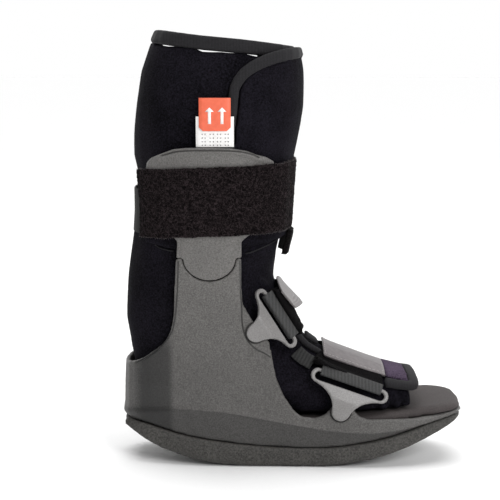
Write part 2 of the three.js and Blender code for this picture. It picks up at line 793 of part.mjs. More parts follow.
// Buckle: a moulded triangle with a slot, flat on its ear and bent in towards the foot
function bucklePlate(webbing, clearance) {
  const half = webbing / 2 + slotSlack / 2;
  const edge = buckleCorner + clearance;
  const apex = buckleApex + clearance;
  const first = Math.PI * (2 - buckleArc);
  const last = Math.PI * (1 + buckleArc);
  const shape = new THREE.Shape();
  shape.absarc(0, 0, apex, first, last, false);
  shape.quadraticCurveTo(apex * neckFlare, buckleReach * neckAt, half, buckleReach - edge);
  shape.absarc(half, buckleReach, edge, -Math.PI / 2, Math.PI / 2, false);
  shape.absarc(-half, buckleReach, edge, Math.PI / 2, Math.PI * 1.5, false);
  const end = [apex * Math.cos(first), apex * Math.sin(first)];
  shape.quadraticCurveTo(-apex * neckFlare, buckleReach * neckAt, ...end);
  const slot = new THREE.Path();
  const open = slotHalf - clearance;
  const slotAt = buckleReach - slotDrop;
  slot.absarc(half - slotInset, slotAt, open, -Math.PI / 2, Math.PI / 2, false);
  slot.absarc(slotInset - half, slotAt, open, Math.PI / 2, Math.PI * 1.5, false);
  shape.holes.push(slot);
  const depth = buckleWall + 2 * clearance;
  const geometry = new THREE.ExtrudeGeometry(shape, { depth, bevelEnabled: false, curveSegments: 6 });
  geometry.translate(0, 0, -clearance);
  return solidOf(geometry);
}

// The plate bent across its neck, and set on its ear
function buckleSolid({ webbing, apex, slope, tilt, face }, clearance) {
  const plate = bucklePlate(webbing, clearance);
  const far = bootLength;
  const block = new THREE.BoxGeometry(far, far, far);
  const above = solidOf(block.translate(0, buckleBend + far / 2, 0));
  const bend = new THREE.Matrix4().makeTranslation(0, buckleBend, buckleWall / 2);
  const lean = new THREE.Matrix4().makeRotationX(-tilt);
  const turned = bend.clone().multiply(lean).multiply(bend.clone().invert());
  const upper = geometryOf(plate.intersect(above)).applyMatrix4(turned);
  const round = buckleWall / 2 + clearance;
  const hinge = new THREE.CylinderGeometry(round, round, 2 * buckleApex, 10);
  hinge.rotateZ(Math.PI / 2);
  hinge.translate(0, buckleBend, buckleWall / 2);
  const whole = plate.subtract(above).add(solidOf(upper)).add(solidOf(hinge));
  const run = new THREE.Vector3(Math.cos(slope), 0, Math.sin(slope));
  const up = new THREE.Vector3(-Math.sin(slope), 0, Math.cos(slope));
  const out = new THREE.Vector3(0, -1, 0);
  const place = new THREE.Matrix4().makeBasis(run, up, out);
  place.setPosition(lengthAt(apex[0]), -face, heightAt(apex[1]));
  return solidOf(geometryOf(whole).applyMatrix4(place));
}

// Outer faces of the recessed upper ear and of the lower one, plus a clearance
const upperApex = [-0.1065, 0.316];
const lowerApex = [0.1365, 0.1325];
const upperFace = along(uprightRows, upperApex[1], 'half') * soleWidth - earRecess + seat;
const lowerFace = along(soleRows, lowerApex[0], 'half') * soleWidth - trayLean + gap;

const upperBuckle = {
  webbing: upperStrapWidth, apex: upperApex, slope: THREE.MathUtils.degToRad(-57.5),
  tilt: THREE.MathUtils.degToRad(43), face: upperFace,
};
const lowerBuckle = {
  webbing: lowerStrapWidth, apex: lowerApex, slope: THREE.MathUtils.degToRad(-19.3),
  tilt: THREE.MathUtils.degToRad(21), face: lowerFace,
};

// Straps over the foot: the sections they cover, the slot's angle and slant across them,
// its rise off the foot at each edge, the far end's angle, and where the fold ends
const instepWebbing = {
  low: 0.45, high: 3.75, slot: 42, slant: -0.09, rise: [8, 12.5], far: -92, foldTo: 12, buckle: upperBuckle,
};
const forefootWebbing = {
  low: 6.15, high: 9.55, slot: 72, slant: 0.27, rise: [11, 6], far: -84, foldTo: 30, buckle: lowerBuckle,
};

// Angles before the slot where a strap starts and ends its rise, where its fold turns,
// and where it stops; and the depth by which the fold is sunk into the layer below
const riseFrom = 24;
const riseTo = 7;
const turnFrom = 4.5;
const slotShort = 1;
const foldSink = 0.2;

// Webbing over the foot, through the buckle's slot, round its bar and back over itself.
// The slot crosses the foot's sections at a slant, and stands off them by a rise.
function webbing({ low, high, slot, slant, rise, far, foldTo, buckle }) {
  const middle = (low + high) / 2;
  const half = (high - low) / 2;
  const surface = (place, run, offset) => {
    const lean = 1 + slant * ((place - middle) / half) * Math.max(run / slot, 0);
    return footPoint(place, run * lean, offset);
  };
  const run = (from, to, steps, lift, wall) => solidOf(strip(surface, {
    from, to, steps, across: 4, low: () => low, high: () => high, lift, wall,
  }));
  const near = (angle) => THREE.MathUtils.smoothstep(angle, slot - riseFrom, slot - riseTo);
  const standing = (place) => THREE.MathUtils.mapLinear(place, low, high, rise[0], rise[1]);
  const under = barWidth / 2 + gap + webbingWall;
  const below = (angle, place) => THREE.MathUtils.lerp(softGap, standing(place) - under, near(angle));
  const open = barWidth + 2 * gap + foldSink;
  const above = (angle, place) => below(angle, place) + webbingWall - foldSink + near(angle) * open;
  const end = slot - slotShort;
  const layer = run(far, end, 16, below, webbingWall);
  const fold = run(foldTo, end, 6, above, webbingWall);
  const turn = run(slot - turnFrom, end, 1, below, 2 * under);
  return geometryOf(layer.add(fold).add(turn).subtract(buckleSolid(buckle, gap)));
}

// Tabs that hold the folds down: the angles and sections they cover
const instepGrip = { from: -14, to: 11, low: 0.1, lean: 0.25, high: 2.4, wall: 2.4 };
const forefootGrip = { from: -20, to: 25, low: 5.85, lean: 0, high: 9.7, wall: 2.6 };

function gripTab({ from, to, low, lean, high, wall }) {
  return strip(footPoint, {
    from, to, steps: 8, across: 5,
    low: (angle) => low + lean * THREE.MathUtils.inverseLerp(from, to, angle),
    high: () => high,
    lift: () => softGap + webbingWall + gap,
    wall,
  });
}

// Tags above the near strut head, over the panel's bound edge
const tagCentre = -0.2205;
const tagLift = softGap + bindingWall + 3 * gap;

// Point on the calf's near side by its place along the boot
function nearPoint(height, x, offset) {
  const share = height / bootHeight;
  const back = lengthAt(along(calfRows, share, 'back'));
  const front = lengthAt(along(calfRows, share, 'front'));
  const run = (x - (front + back) / 2) / ((front - back) / 2);
  const angle = Math.acos(Math.sign(run) * Math.abs(run) ** (calfPower / 2));
  return calfPoint(height, THREE.MathUtils.radToDeg(angle), offset).setX(x);
}

function tag({ width, height, wall, corner }, bottom, lift) {
  const centre = lengthAt(tagCentre);
  const foot = (x) => {
    const past = Math.max(Math.abs(x - centre) - (width / 2 - corner), 0);
    return bottom + corner - Math.sqrt(Math.max(corner ** 2 - past ** 2, 0));
  };
  return strip(nearPoint, {
    from: centre - width / 2, to: centre + width / 2, steps: 8, across: 1,
    low: foot,
    high: () => bottom + height,
    lift: () => lift,
    wall,
  });
}

const headTop = heightAt(0.738) + seat;
const pullTabRise = 13;
const pieces = {
  outsole: outsole(),
  shell: shell(),
  footbed: footbed(),
  strut_near: upperStrut(-1),
  strut_far: upperStrut(1),
  liner_boot: linerBoot(),
  collar_binding: collarBinding(),
  liner_flap: linerFlap(),
  flap_binding: geometryOf(flapBindingSolid(0)),
  calf_band: calfBand(),
  band_tab: bandTab(),
  calf_strap: calfStrap(),
  back_strap: backStrap(),
  toe_flap: toeFlap(),
  toe_binding: geometryOf(toeBindingSolid(0)),
  instep_binding: footRibbon(instepBindingEnds),
  instep_strap: webbing(instepWebbing),
  instep_tab: gripTab(instepGrip),
  forefoot_strap: webbing(forefootWebbing),
  forefoot_tab: gripTab(forefootGrip),
  keeper_strap: footRibbon(keeperEnds),
  buckle_upper: geometryOf(buckleSolid(upperBuckle, 0)),
  buckle_lower: geometryOf(buckleSolid(lowerBuckle, 0)),
  sleeve_tag: tag(sleeveTag, headTop + gap, tagLift),
  pull_tab: tag(pullTab, headTop + pullTabRise, tagLift + sleeveTag.wall + gap),
};

// Surface finishes
const finishes = {
  moulding: { color: '#75726f', roughness: 0.6, metalness: 0 },
  rubber: { color: '#4b4845', roughness: 0.85, metalness: 0 },
  foam: { color: '#5c5350', roughness: 0.9, metalness: 0 },
  fleece: { color: '#17151c', roughness: 0.95, metalness: 0 },
  binding: { color: '#2e2d2f', roughness: 0.9, metalness: 0 },
  loop: { color: '#2a2425', roughness: 1, metalness: 0 },
  webbing: { color: '#4a4848', roughness: 0.9, metalness: 0 },
  grip: { color: '#706a6b', roughness: 0.6, metalness: 0 },
  buckle: { color: '#918e8b', roughness: 0.5, metalness: 0 },
  orange: { color: '#fb7a58', roughness: 0.6, metalness: 0 },
  white: { color: '#f2f0ee', roughness: 0.7, metalness: 0 },
};
const finishOf = {
  outsole: 'rubber', shell: 'moulding', footbed: 'foam', strut_near: 'moulding', strut_far: 'moulding',
  liner_boot: 'fleece', collar_binding: 'binding', liner_flap: 'fleece', flap_binding: 'binding',
  calf_band: 'fleece', band_tab: 'loop', calf_strap: 'loop', back_strap: 'webbing', toe_flap: 'fleece',
  toe_binding: 'binding', instep_binding: 'binding', instep_strap: 'webbing', instep_tab: 'grip',
  forefoot_strap: 'webbing', forefoot_tab: 'grip', keeper_strap: 'webbing', buckle_upper: 'buckle',
  buckle_lower: 'buckle', sleeve_tag: 'white', pull_tab: 'orange',
};

const boot = new THREE.Group();
for (const [name, geometry] of Object.entries(pieces)) {
  geometry.computeVertexNormals();
  const mesh = new THREE.Mesh(geometry, new THREE.MeshStandardMaterial(finishes[finishOf[name]]));
  mesh.name = name;
  boot.add(mesh);
}

// The origin goes to the bottom centre of the whole boot
const box = new THREE.Box3().setFromObject(boot);
boot.position.set(-(box.min.x + box.max.x) / 2, -(box.min.y + box.max.y) / 2, -box.min.z);
boot.updateMatrixWorld(true);

export default boot;
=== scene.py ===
"""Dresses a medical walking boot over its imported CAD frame.

Hard mouldings get rounded edges and a grained surface. The padded boot, its front panel and
its toe flap are remeshed, puffed up with cloth pressure and creased. Straps, edgings and
tags are smoothed into cloth, and stitches, ribs and pile are added to them.
"""
import logging
import math
from dataclasses import dataclass
from enum import Enum
from typing import Sequence

import bpy
import numpy as np
from mathutils import Euler, Matrix, Vector
from mathutils.bvhtree import BVHTree


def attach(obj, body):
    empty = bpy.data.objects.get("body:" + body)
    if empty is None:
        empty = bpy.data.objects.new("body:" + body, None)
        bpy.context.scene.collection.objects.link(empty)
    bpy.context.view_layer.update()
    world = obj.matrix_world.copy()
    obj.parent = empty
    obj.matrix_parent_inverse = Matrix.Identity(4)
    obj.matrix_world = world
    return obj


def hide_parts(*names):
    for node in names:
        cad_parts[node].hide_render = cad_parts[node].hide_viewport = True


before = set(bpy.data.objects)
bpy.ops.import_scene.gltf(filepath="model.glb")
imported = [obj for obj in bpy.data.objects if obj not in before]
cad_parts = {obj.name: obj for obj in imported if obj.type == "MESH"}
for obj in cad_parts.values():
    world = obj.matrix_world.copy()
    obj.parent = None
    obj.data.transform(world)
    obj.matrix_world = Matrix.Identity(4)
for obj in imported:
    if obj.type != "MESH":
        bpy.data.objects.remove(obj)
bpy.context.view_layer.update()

logging.basicConfig(level=logging.INFO, format="%(message)s")
log = logging.getLogger("walking_boot")

MM = 0.001
# Points of a CAD mesh that lie closer than this are joined up, in metres
MERGE = 0.01 * MM
# Distance from the boot's middle at which lines start to fall onto a piece, in metres
OUTSIDE = 0.3
# Least share of a face's normal towards the viewer for a groove to be cut into it
GRAZING = 0.2
# Bands of the wave texture in each unit of its scale
BANDS = 3.2
# Name of the attribute that holds each point's share of painted shade
PAINTED_SHADE = "painted_shade"
Line = Sequence[tuple[float, float]]


class Facing(Enum):
    """The side that a line is drawn on, as the axis that points at the viewer."""

    NEAR = (0, -1, 0)
    FAR = (0, 1, 0)
    FRONT = (1, 0, 0)
    TOP = (0, 0, 1)

    @property
    def axis(self) -> Vector:
        """The axis as a vector."""
        return Vector(self.value)

    def spread(self, line: Line, depth: float = 0) -> np.ndarray:
        """Points of a line drawn in millimetres, in metres, at a depth along the axis.

        Args:
            line: Pairs of the two coordinates that the viewer sees, in X, Y, Z order.
            depth: Distance of the points along the axis, in metres.

        Returns:
            An array of points with one row each.
        """
        seen = [i for i in range(3) if not self.value[i]]
        points = np.tile(np.array(self.value, float) * depth, (len(line), 1))
        points[:, seen] = np.array(line, float) * MM
        return points


def linear(code: str) -> tuple[float, float, float, float]:
    """Linear colour of an sRGB hex code.

    Args:
        code: A hash and six hex digits.

    Returns:
        Red, green and blue from 0 to 1, and a full alpha.
    """
    parts = [int(code[i : i + 2], 16) / 255 for i in (1, 3, 5)]
    low, high = [p / 12.92 for p in parts], [((p + 0.055) / 1.055) ** 2.4 for p in parts]
    red, green, blue = [a if p <= 0.04045 else b for p, a, b in zip(parts, low, high)]
    return red, green, blue, 1.0


def add(
    tree: bpy.types.NodeTree, kind: str, feeds: dict | None = None, **settings: object
) -> bpy.types.Node:
    """Adds a node with its settings and links.

    Args:
        tree: The node tree that gets it.
        kind: The node's type.
        feeds: For each input, by name or index, a value or the socket that feeds it.
        settings: The node's own attributes.

    Returns:
        The new node.
    """
    made = tree.nodes.new(kind)
    for name, value in settings.items():
        setattr(made, name, value)
    for key, feed in (feeds or {}).items():
        if isinstance(feed, bpy.types.NodeSocket):
            tree.links.new(feed, made.inputs[key])
        else:
            made.inputs[key].default_value = feed
    return made


@dataclass(frozen=True)
class Canvas:
    """A material's node tree, with the shader that it feeds.

    Attributes:
        tree: The node tree.
        shader: Its shader.
        place: The socket that gives the place on the piece.
    """

    tree: bpy.types.NodeTree
    shader: bpy.types.Node
    place: bpy.types.NodeSocket

    def noise(
        self, size: float, detail: float, roughness: float = 0.5, distortion: float = 0.0
    ) -> bpy.types.NodeSocket:
        """Noise from 0 to 1.

        Args:
            size: Size of its features in metres.
            detail: Number of finer layers.
            roughness: Weight of the finer layers.
            distortion: How far it is twisted.

        Returns:
            The socket that gives the noise.
        """
        return add(self.tree, "ShaderNodeTexNoise", {
            "Vector": self.place, "Scale": 1 / size, "Detail": detail, "Roughness": roughness,
            "Distortion": distortion,
        }).outputs["Fac"]

    def ramp(
        self, value: bpy.types.NodeSocket, low: float, high: float,
        first: float = 0.0, last: float = 1.0,
    ) -> bpy.types.NodeSocket:
        """Maps a value evenly from one range onto another, and stops at its ends.

        Args:
            value: The socket that gives the value.
            low: Start of the value's range.
            high: End of the value's range.
            first: Result at the start.
            last: Result at the end.

        Returns:
            The socket that gives the result.
        """
        return add(self.tree, "ShaderNodeMapRange", {
            "Value": value, "From Min": low, "From Max": high, "To Min": first, "To Max": last,
        }).outputs["Result"]

    def calculate(self, operation: str, first: object, second: object) -> bpy.types.NodeSocket:
        """Result of one sum on two values or sockets."""
        feeds = {0: first, 1: second}
        return add(self.tree, "ShaderNodeMath", feeds, operation=operation).outputs["Value"]

    def blend(
        self, share: float, first: bpy.types.NodeSocket, second: bpy.types.NodeSocket
    ) -> bpy.types.NodeSocket:
        """Blend of two values, by the share of the second."""
        return add(self.tree, "ShaderNodeMix", {0: share, 2: first, 3: second}).outputs[0]

    def mix(self, share: bpy.types.NodeSocket, colour: str, other: str) -> bpy.types.NodeSocket:
        """Mix of two colours, by the share of the second."""
        feeds = {0: share, 6: linear(colour), 7: linear(other)}
        return add(self.tree, "ShaderNodeMix", feeds, data_type="RGBA").outputs[2]

    def feed(
        self, colour: bpy.types.NodeSocket, height: bpy.types.NodeSocket, strength: float,
        relief: float, inputs: dict[str, object],
    ) -> None:
        """Feeds the shader its colour and its relief, and sets its other inputs.

        Args:
            colour: The socket that gives the colour.
            height: The socket that gives the relief's height.
            strength: Strength of the relief.
            relief: Height of the relief in metres.
            inputs: For each other input a value or the socket that feeds it.
        """
        bump = add(self.tree, "ShaderNodeBump", {
            "Height": height, "Strength": strength, "Distance": relief,
        })
        fed = {"Base Color": colour, "Normal": bump.outputs["Normal"], **inputs}
        for name, value in fed.items():
            if isinstance(value, bpy.types.NodeSocket):
                self.tree.links.new(value, self.shader.inputs[name])
            else:
                self.shader.inputs[name].default_value = value


@dataclass(frozen=True)
class Finish:
    """A finish that several pieces can share.

    Attributes:
        name: The real material and how its surface was made.
        colour: Its main colour.
    """

    name: str
    colour: str

    def material(self) -> bpy.types.Material:
        """The finish's material, built the first time it is asked for."""
        known = bpy.data.materials.get(self.name)
        if known:
            return known
        made = bpy.data.materials.new(self.name)
        made.use_nodes = True
        made.diffuse_color = linear(self.colour)
        tree = made.node_tree
        place = add(tree, "ShaderNodeTexCoord").outputs["Object"]
        self.paint(Canvas(tree, tree.nodes["Principled BSDF"], place))
        return made

    def paint(self, canvas: Canvas) -> None:
        """Builds the finish's nodes on a canvas."""
        raise NotImplementedError


@dataclass(frozen=True)
class GrainedMoulding(Finish):
    """Injection-moulded plastic or rubber with a spark-eroded grain.

    Pale and dark grains lie mixed on it, and broad patches are a little lighter or darker.
    The grain breaks up the gloss, so highlights are wide and soft. Shade is also painted into
    the colour: the plastic is darker by the share that the piece's own attribute gives.

    Attributes:
        grain: Colour of the lighter grains.
        grit: Size of a grain in metres.
        relief: Height of the grain in metres.
        roughness: Roughness between the grains.
        patch: Size of the broad patches in metres.
        unevenness: How much rougher the low grains are, and the high ones.
    """

    grain: str
    grit: float = 1.1 * MM
    relief: float = 0.12 * MM
    roughness: float = 0.55
    patch: float = 30 * MM
    unevenness: tuple[float, float] = (0.12, -0.08)

    def paint(self, canvas: Canvas) -> None:
        """Builds the finish's nodes on a canvas."""
        tree = canvas.tree
        grains = canvas.noise(self.grit, detail=3.0, roughness=0.7)
        patches = canvas.noise(self.patch, detail=2.0)
        tone = canvas.mix(canvas.ramp(grains, 0.36, 0.66), self.colour, self.grain)
        cast = canvas.ramp(patches, 0.3, 0.7, first=0.93, last=1.07)
        # Painted shade: the piece's attribute darkens its colour by that share
        painted_shade = add(tree, "ShaderNodeAttribute", attribute_name=PAINTED_SHADE).outputs["Fac"]
        level = canvas.calculate("MULTIPLY", cast, canvas.calculate("SUBTRACT", 1.0, painted_shade))
        shaded = add(tree, "ShaderNodeHueSaturation", {"Value": level, "Color": tone})
        low, high = [self.roughness + more for more in self.unevenness]
        gloss = canvas.ramp(grains, 0.0, 1.0, first=low, last=high)
        canvas.feed(shaded.outputs["Color"], grains, 0.6, self.relief, {
            "Roughness": gloss, "IOR": 1.5,
        })


@dataclass(frozen=True)
class BrushedFleece(Finish):
    """Polyester fleece laminated on foam, brushed to a short matt nap.

    The nap catches light at a grazing angle, so edges look paler than the face.

    Attributes:
        nap: Colour that the nap shows where it catches light.
        fibre: Size of the nap's tufts in metres, coarser than real fleece so that it shows.
        sheen: Weight of the sheen.
        relief: Height of the nap in metres.
        brushing: Size of the patches where the nap was brushed one way, in metres.
        patchiness: Share of the nap's look that comes from those patches.
    """

    nap: str
    fibre: float = 1.3 * MM
    sheen: float = 0.05
    relief: float = 0.3 * MM
    brushing: float = 40 * MM
    patchiness: float = 0.25

    def paint(self, canvas: Canvas) -> None:
        """Builds the finish's nodes on a canvas."""
        tufts = canvas.noise(self.fibre, detail=4.0, roughness=0.75)
        brushed = canvas.noise(self.brushing, detail=2.0)
        both = canvas.blend(self.patchiness, tufts, brushed)
        tone = canvas.mix(canvas.ramp(both, 0.4, 0.6), self.colour, self.nap)
        canvas.feed(tone, tufts, 0.7, self.relief, {
            "Roughness": 0.95, "IOR": 1.4, "Specular IOR Level": 0.1, "Sheen Weight": self.sheen,
            "Sheen Roughness": 0.5, "Sheen Tint": linear(self.nap),
        })


@dataclass(frozen=True)
class LoopPile(Finish):
    """Napped loop tape: curled fibres on a knitted base, dark in the hollows between them.

    Attributes:
        tip: Colour of the loops' lit tips.
        loop: Size of a clump of loops in metres.
        relief: Height of the pile in metres.
        sheen: Weight of the sheen.
    """

    tip: str
    loop: float = 1.6 * MM
    relief: float = 0.6 * MM
    sheen: float = 0.06

    def paint(self, canvas: Canvas) -> None:
        """Builds the finish's nodes on a canvas."""
        curl = canvas.noise(self.loop, detail=5.0, roughness=0.8, distortion=1.2)
        share = canvas.ramp(curl, 0.46, 0.63)
        tone = canvas.mix(share, self.colour, self.tip)
        canvas.feed(tone, share, 0.9, self.relief, {
            "Roughness": 1.0, "Specular IOR Level": 0.1, "Sheen Weight": self.sheen,
            "Sheen Roughness": 0.6, "Sheen Tint": linear(self.tip),
        })


@dataclass(frozen=True)
class RibbedWeave(Finish):
    """Woven or knitted tape with ribs along one direction and fine picks across them.

    Attributes:
        thread: Colour of the threads' lit backs.
        rib: Distance between ribs in metres.
        turn: Turn in degrees about Y that brings the ribs' spacing onto the X axis.
        relief: Height of a rib in metres.
        sheen: Weight of the sheen.
        ribbing: Share of the weave's look that comes from the ribs, the rest from its picks.
        pick: Size of a pick in metres.
    """

    thread: str
    rib: float = 1.4 * MM
    turn: float = 0.0
    relief: float = 0.2 * MM
    sheen: float = 0.1
    ribbing: float = 0.3
    pick: float = 0.9 * MM

    def paint(self, canvas: Canvas) -> None:
        """Builds the finish's nodes on a canvas."""
        turned = add(canvas.tree, "ShaderNodeMapping", {
            "Vector": canvas.place, "Rotation": (0, math.radians(self.turn), 0),
        })
        ribs = add(canvas.tree, "ShaderNodeTexWave", {
            "Vector": turned.outputs["Vector"], "Scale": 1 / (2 * self.rib) / BANDS,
            "Distortion": 0.6, "Detail": 1.0, "Detail Scale": 2.0,
        }, bands_direction="X").outputs["Fac"]
        weave = canvas.blend(self.ribbing, canvas.noise(self.pick, detail=3.0), ribs)
        tone = canvas.mix(canvas.ramp(weave, 0.3, 0.7), self.colour, self.thread)
        canvas.feed(tone, weave, 0.7, self.relief, {
            "Roughness": 0.85, "Specular IOR Level": 0.3, "Sheen Weight": self.sheen,
            "Sheen Tint": linear(self.thread),
        })


@dataclass(frozen=True)
class SatinFace(Finish):
    """Smooth coated or printed face, with only a faint mottle and a soft sheen of its own.

    Attributes:
        shade: Colour of the darker mottle.
        roughness: Roughness of the face.
        mottle: Size of the mottle in metres.
        relief: Height of the mottle in metres.
    """

    shade: str
    roughness: float = 0.5
    mottle: float = 4 * MM
    relief: float = 0.1 * MM

    def paint(self, canvas: Canvas) -> None:
        """Builds the finish's nodes on a canvas."""
        cloud = canvas.noise(self.mottle, detail=6.0, roughness=0.65)
        tone = canvas.mix(canvas.ramp(cloud, 0.35, 0.65), self.colour, self.shade)
        canvas.feed(tone, cloud, 0.25, self.relief, {"Roughness": self.roughness})


SHELL_PLASTIC = GrainedMoulding("polypropylene_spark_grained", "#444240", "#676563")
STRUT_PLASTIC = GrainedMoulding("polypropylene_spark_grained_strut", "#4d4b49", "#6b6967")
SOLE_RUBBER = GrainedMoulding(
    "rubber_moulded_matt", "#282725", "#4b4946", grit=1.5 * MM, relief=0.2 * MM, roughness=0.75
)
FOOTBED_FOAM = GrainedMoulding(
    "eva_foam_moulded", "#302b2b", "#423c3b", grit=0.9 * MM, relief=0.06 * MM, roughness=0.8
)
BUCKLE_NYLON = GrainedMoulding(
    "nylon_moulded_satin", "#6d6b6a", "#858382", grit=0.8 * MM, relief=0.05 * MM, roughness=0.42
)
LINER_FLEECE = BrushedFleece("fleece_brushed_on_foam", "#010102", "#1b1920")
TOE_FLEECE = BrushedFleece(
    "tricot_brushed_on_foam", "#171219", "#4f4355", sheen=0.8, relief=0.15 * MM
)
EDGE_KNIT = RibbedWeave(
    "elastic_knitted_edging", "#121113", "#201f22", rib=1.2 * MM, relief=0.08 * MM, ribbing=0.15
)
STRAP_PILE = LoopPile("loop_tape_napped", "#020101", "#3b3234", loop=1.9 * MM)
CUT_FIBRES = SatinFace("polyamide_cut_fibres", "#57504f", "#453f40", roughness=0.7)
TAB_PILE = LoopPile("loop_tape_napped_dark", "#060505", "#262224", loop=1.1 * MM)
HOOK_TAPE = LoopPile("hook_tape_woven", "#060506", "#161415", loop=1.0 * MM, relief=0.3 * MM)
BAR_WEBBING = RibbedWeave(
    "nylon_webbing_turned", "#343434", "#454545", relief=0.06 * MM, ribbing=0.3
)
BACK_WEBBING = RibbedWeave("nylon_webbing_back", "#040404", "#0c0c0c")
KEEPER_WEBBING = RibbedWeave("nylon_webbing_keeper", "#1b1b1b", "#2d2d2d", turn=-35)
GRIP_FACE = SatinFace("coated_cloth_calendered", "#544f50", "#676162", roughness=0.42)
RIBBED_GRIP = GrainedMoulding(
    "nylon_moulded_grip", "#555151", "#736e6d", grit=0.8 * MM, relief=0.05 * MM, roughness=0.45
)
ORANGE_LABEL = SatinFace("satin_label_orange", "#e2694b", "#da6041", roughness=0.55)
WHITE_LABEL = SatinFace("satin_label_white", "#ecebe9", "#e2e0de", roughness=0.6)
PRINT_WHITE = SatinFace("print_white", "#f6f1ee", "#efe9e6", roughness=0.5)
PRINT_GREY = SatinFace("print_grey", "#8b8887", "#7d7a79", roughness=0.6)
PALE_THREAD = SatinFace("polyester_thread_pale", "#a09a9a", "#8a8484", roughness=0.6)


def select_only(*objects: bpy.types.Object) -> None:
    """Selects these objects alone, and makes the first one active."""
    bpy.ops.object.select_all(action="DESELECT")
    for obj in objects:
        obj.select_set(True)
    bpy.context.view_layer.objects.active = objects[0]


def copy_of(node_name: str, name: str) -> bpy.types.Object:
    """A copy of a CAD node's mesh as a piece of its own, with its triangles joined up.

    Args:
        node_name: The CAD node.
        name: Name of the new piece.

    Returns:
        The new piece.
    """
    obj = bpy.data.objects.new(name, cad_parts[node_name].data.copy())
    obj.data.name = name
    obj.data.materials.clear()
    bpy.context.scene.collection.objects.link(obj)
    select_only(obj)
    bpy.ops.object.mode_set(mode="EDIT")
    bpy.ops.mesh.select_all(action="SELECT")
    bpy.ops.mesh.remove_doubles(threshold=MERGE)
    bpy.ops.object.mode_set(mode="OBJECT")
    return obj


def apply(obj: bpy.types.Object, kind: str, **settings: object) -> None:
    """Adds a modifier to a piece and applies it.

    Args:
        obj: The piece.
        kind: The modifier's type.
        settings: The modifier's own attributes.
    """
    modifier = obj.modifiers.new(kind.title(), kind)
    for name, value in settings.items():
        setattr(modifier, name, value)
    select_only(obj)
    bpy.ops.object.modifier_apply(modifier=modifier.name)


def points_of(obj: bpy.types.Object) -> np.ndarray:
    """The piece's vertices, one row each."""
    flat = np.empty(len(obj.data.vertices) * 3)
    obj.data.vertices.foreach_get("co", flat)
    return flat.reshape(-1, 3)


def normals_of(obj: bpy.types.Object) -> np.ndarray:
    """The piece's vertex normals, one row each."""
    flat = np.empty(len(obj.data.vertices) * 3)
    obj.data.vertices.foreach_get("normal", flat)
    return flat.reshape(-1, 3)


def move_to(obj: bpy.types.Object, points: np.ndarray) -> None:
    """Moves the piece's vertices to new places."""
    obj.data.vertices.foreach_set("co", points.ravel())
    obj.data.update()


def cut(obj: bpy.types.Object, point: Vector, normal: Vector) -> None:
    """Cuts off whatever lies past a plane, and closes the cut.

    Args:
        obj: The piece.
        point: A point of the plane.
        normal: The plane's normal, towards the side that goes.
    """
    select_only(obj)
    bpy.ops.object.mode_set(mode="EDIT")
    bpy.ops.mesh.select_all(action="SELECT")
    bpy.ops.mesh.bisect(plane_co=point, plane_no=normal, use_fill=True, clear_outer=True)
    bpy.ops.object.mode_set(mode="OBJECT")


def remesh(obj: bpy.types.Object, voxel: float, rounds: int) -> None:
    """Gives a piece an even mesh with softly rounded edges.

    Args:
        obj: The piece.
        voxel: Size of the new faces in metres.
        rounds: Rounds of smoothing after it.
    """
    apply(obj, "REMESH", mode="VOXEL", voxel_size=voxel)
    if rounds:
        apply(obj, "SMOOTH", factor=0.5, iterations=rounds)
    select_only(obj)
    bpy.ops.object.shade_smooth()


def puff(obj: bpy.types.Object, cap: float, pressure: float = 4.0, frames: int = 20) -> None:
    """Puffs a padded piece up with cloth pressure, and keeps every point near its start.

    Args:
        obj: The piece, with an even mesh.
        cap: The furthest that a point may move, in metres.
        pressure: Pressure inside it.
        frames: Frames that the simulation runs.
    """
    start = points_of(obj)
    modifier = obj.modifiers.new("Cloth", "CLOTH")
    modifier.settings.quality = 4
    modifier.settings.use_pressure = True
    modifier.settings.uniform_pressure_force = pressure
    modifier.settings.effector_weights.gravity = 0
    modifier.point_cache.frame_end = frames
    scene = bpy.context.scene
    for number in range(1, frames + 1):
        scene.frame_set(number)
    graph = bpy.context.evaluated_depsgraph_get()
    end = points_of(obj.evaluated_get(graph))
    obj.modifiers.remove(modifier)
    scene.frame_set(1)
    shift = end - start
    reach = np.linalg.norm(shift, axis=1, keepdims=True)
    move_to(obj, start + shift * np.minimum(1, cap / np.maximum(reach, cap / 100)))


def swell(obj: bpy.types.Object, by: float) -> None:
    """Moves the whole surface out along its normals, or in where the distance is negative."""
    move_to(obj, points_of(obj) + normals_of(obj) * by)


def smooth_line(line: Line, steps: int = 6) -> np.ndarray:
    """Even curve through the points of a line.

    Args:
        line: The points.
        steps: New points for each of the old stretches.

    Returns:
        An array with one row for each point.
    """
    given = np.array(line, float)
    padded = np.vstack([2 * given[0] - given[1], given, 2 * given[-1] - given[-2]])
    made = []
    for i in range(1, len(padded) - 2):
        a, b, c, d = padded[i - 1 : i + 3]
        for t in np.arange(steps) / steps:
            made.append(
                b + t * (c - a) / 2 + t**2 * (a - 2.5 * b + 2 * c - d / 2)
                + t**3 * (1.5 * (b - c) + (d - a) / 2)
            )
    return np.array([*made, given[-1]])


def away(points: np.ndarray, line: Line, facing: Facing) -> np.ndarray:
    """Distance of points from a line, as the line's side sees them.

    Args:
        points: The points, one row each.
        line: The line in millimetres.
        facing: The side that the line is drawn on.

    Returns:
        One distance in metres for each point.
    """
    seen = np.abs(np.array(facing.value)) < 0.5
    places, curve = points[:, seen], facing.spread(smooth_line(line))[:, seen]
    nearest = np.full(len(points), np.inf)
    for start, end in zip(curve[:-1], curve[1:]):
        run = end - start
        share = np.clip((places - start) @ run / max(run @ run, 1e-12), 0, 1)
        nearest = np.minimum(
            nearest, np.linalg.norm(places - start - share[:, None] * run, axis=1)
        )
    return nearest


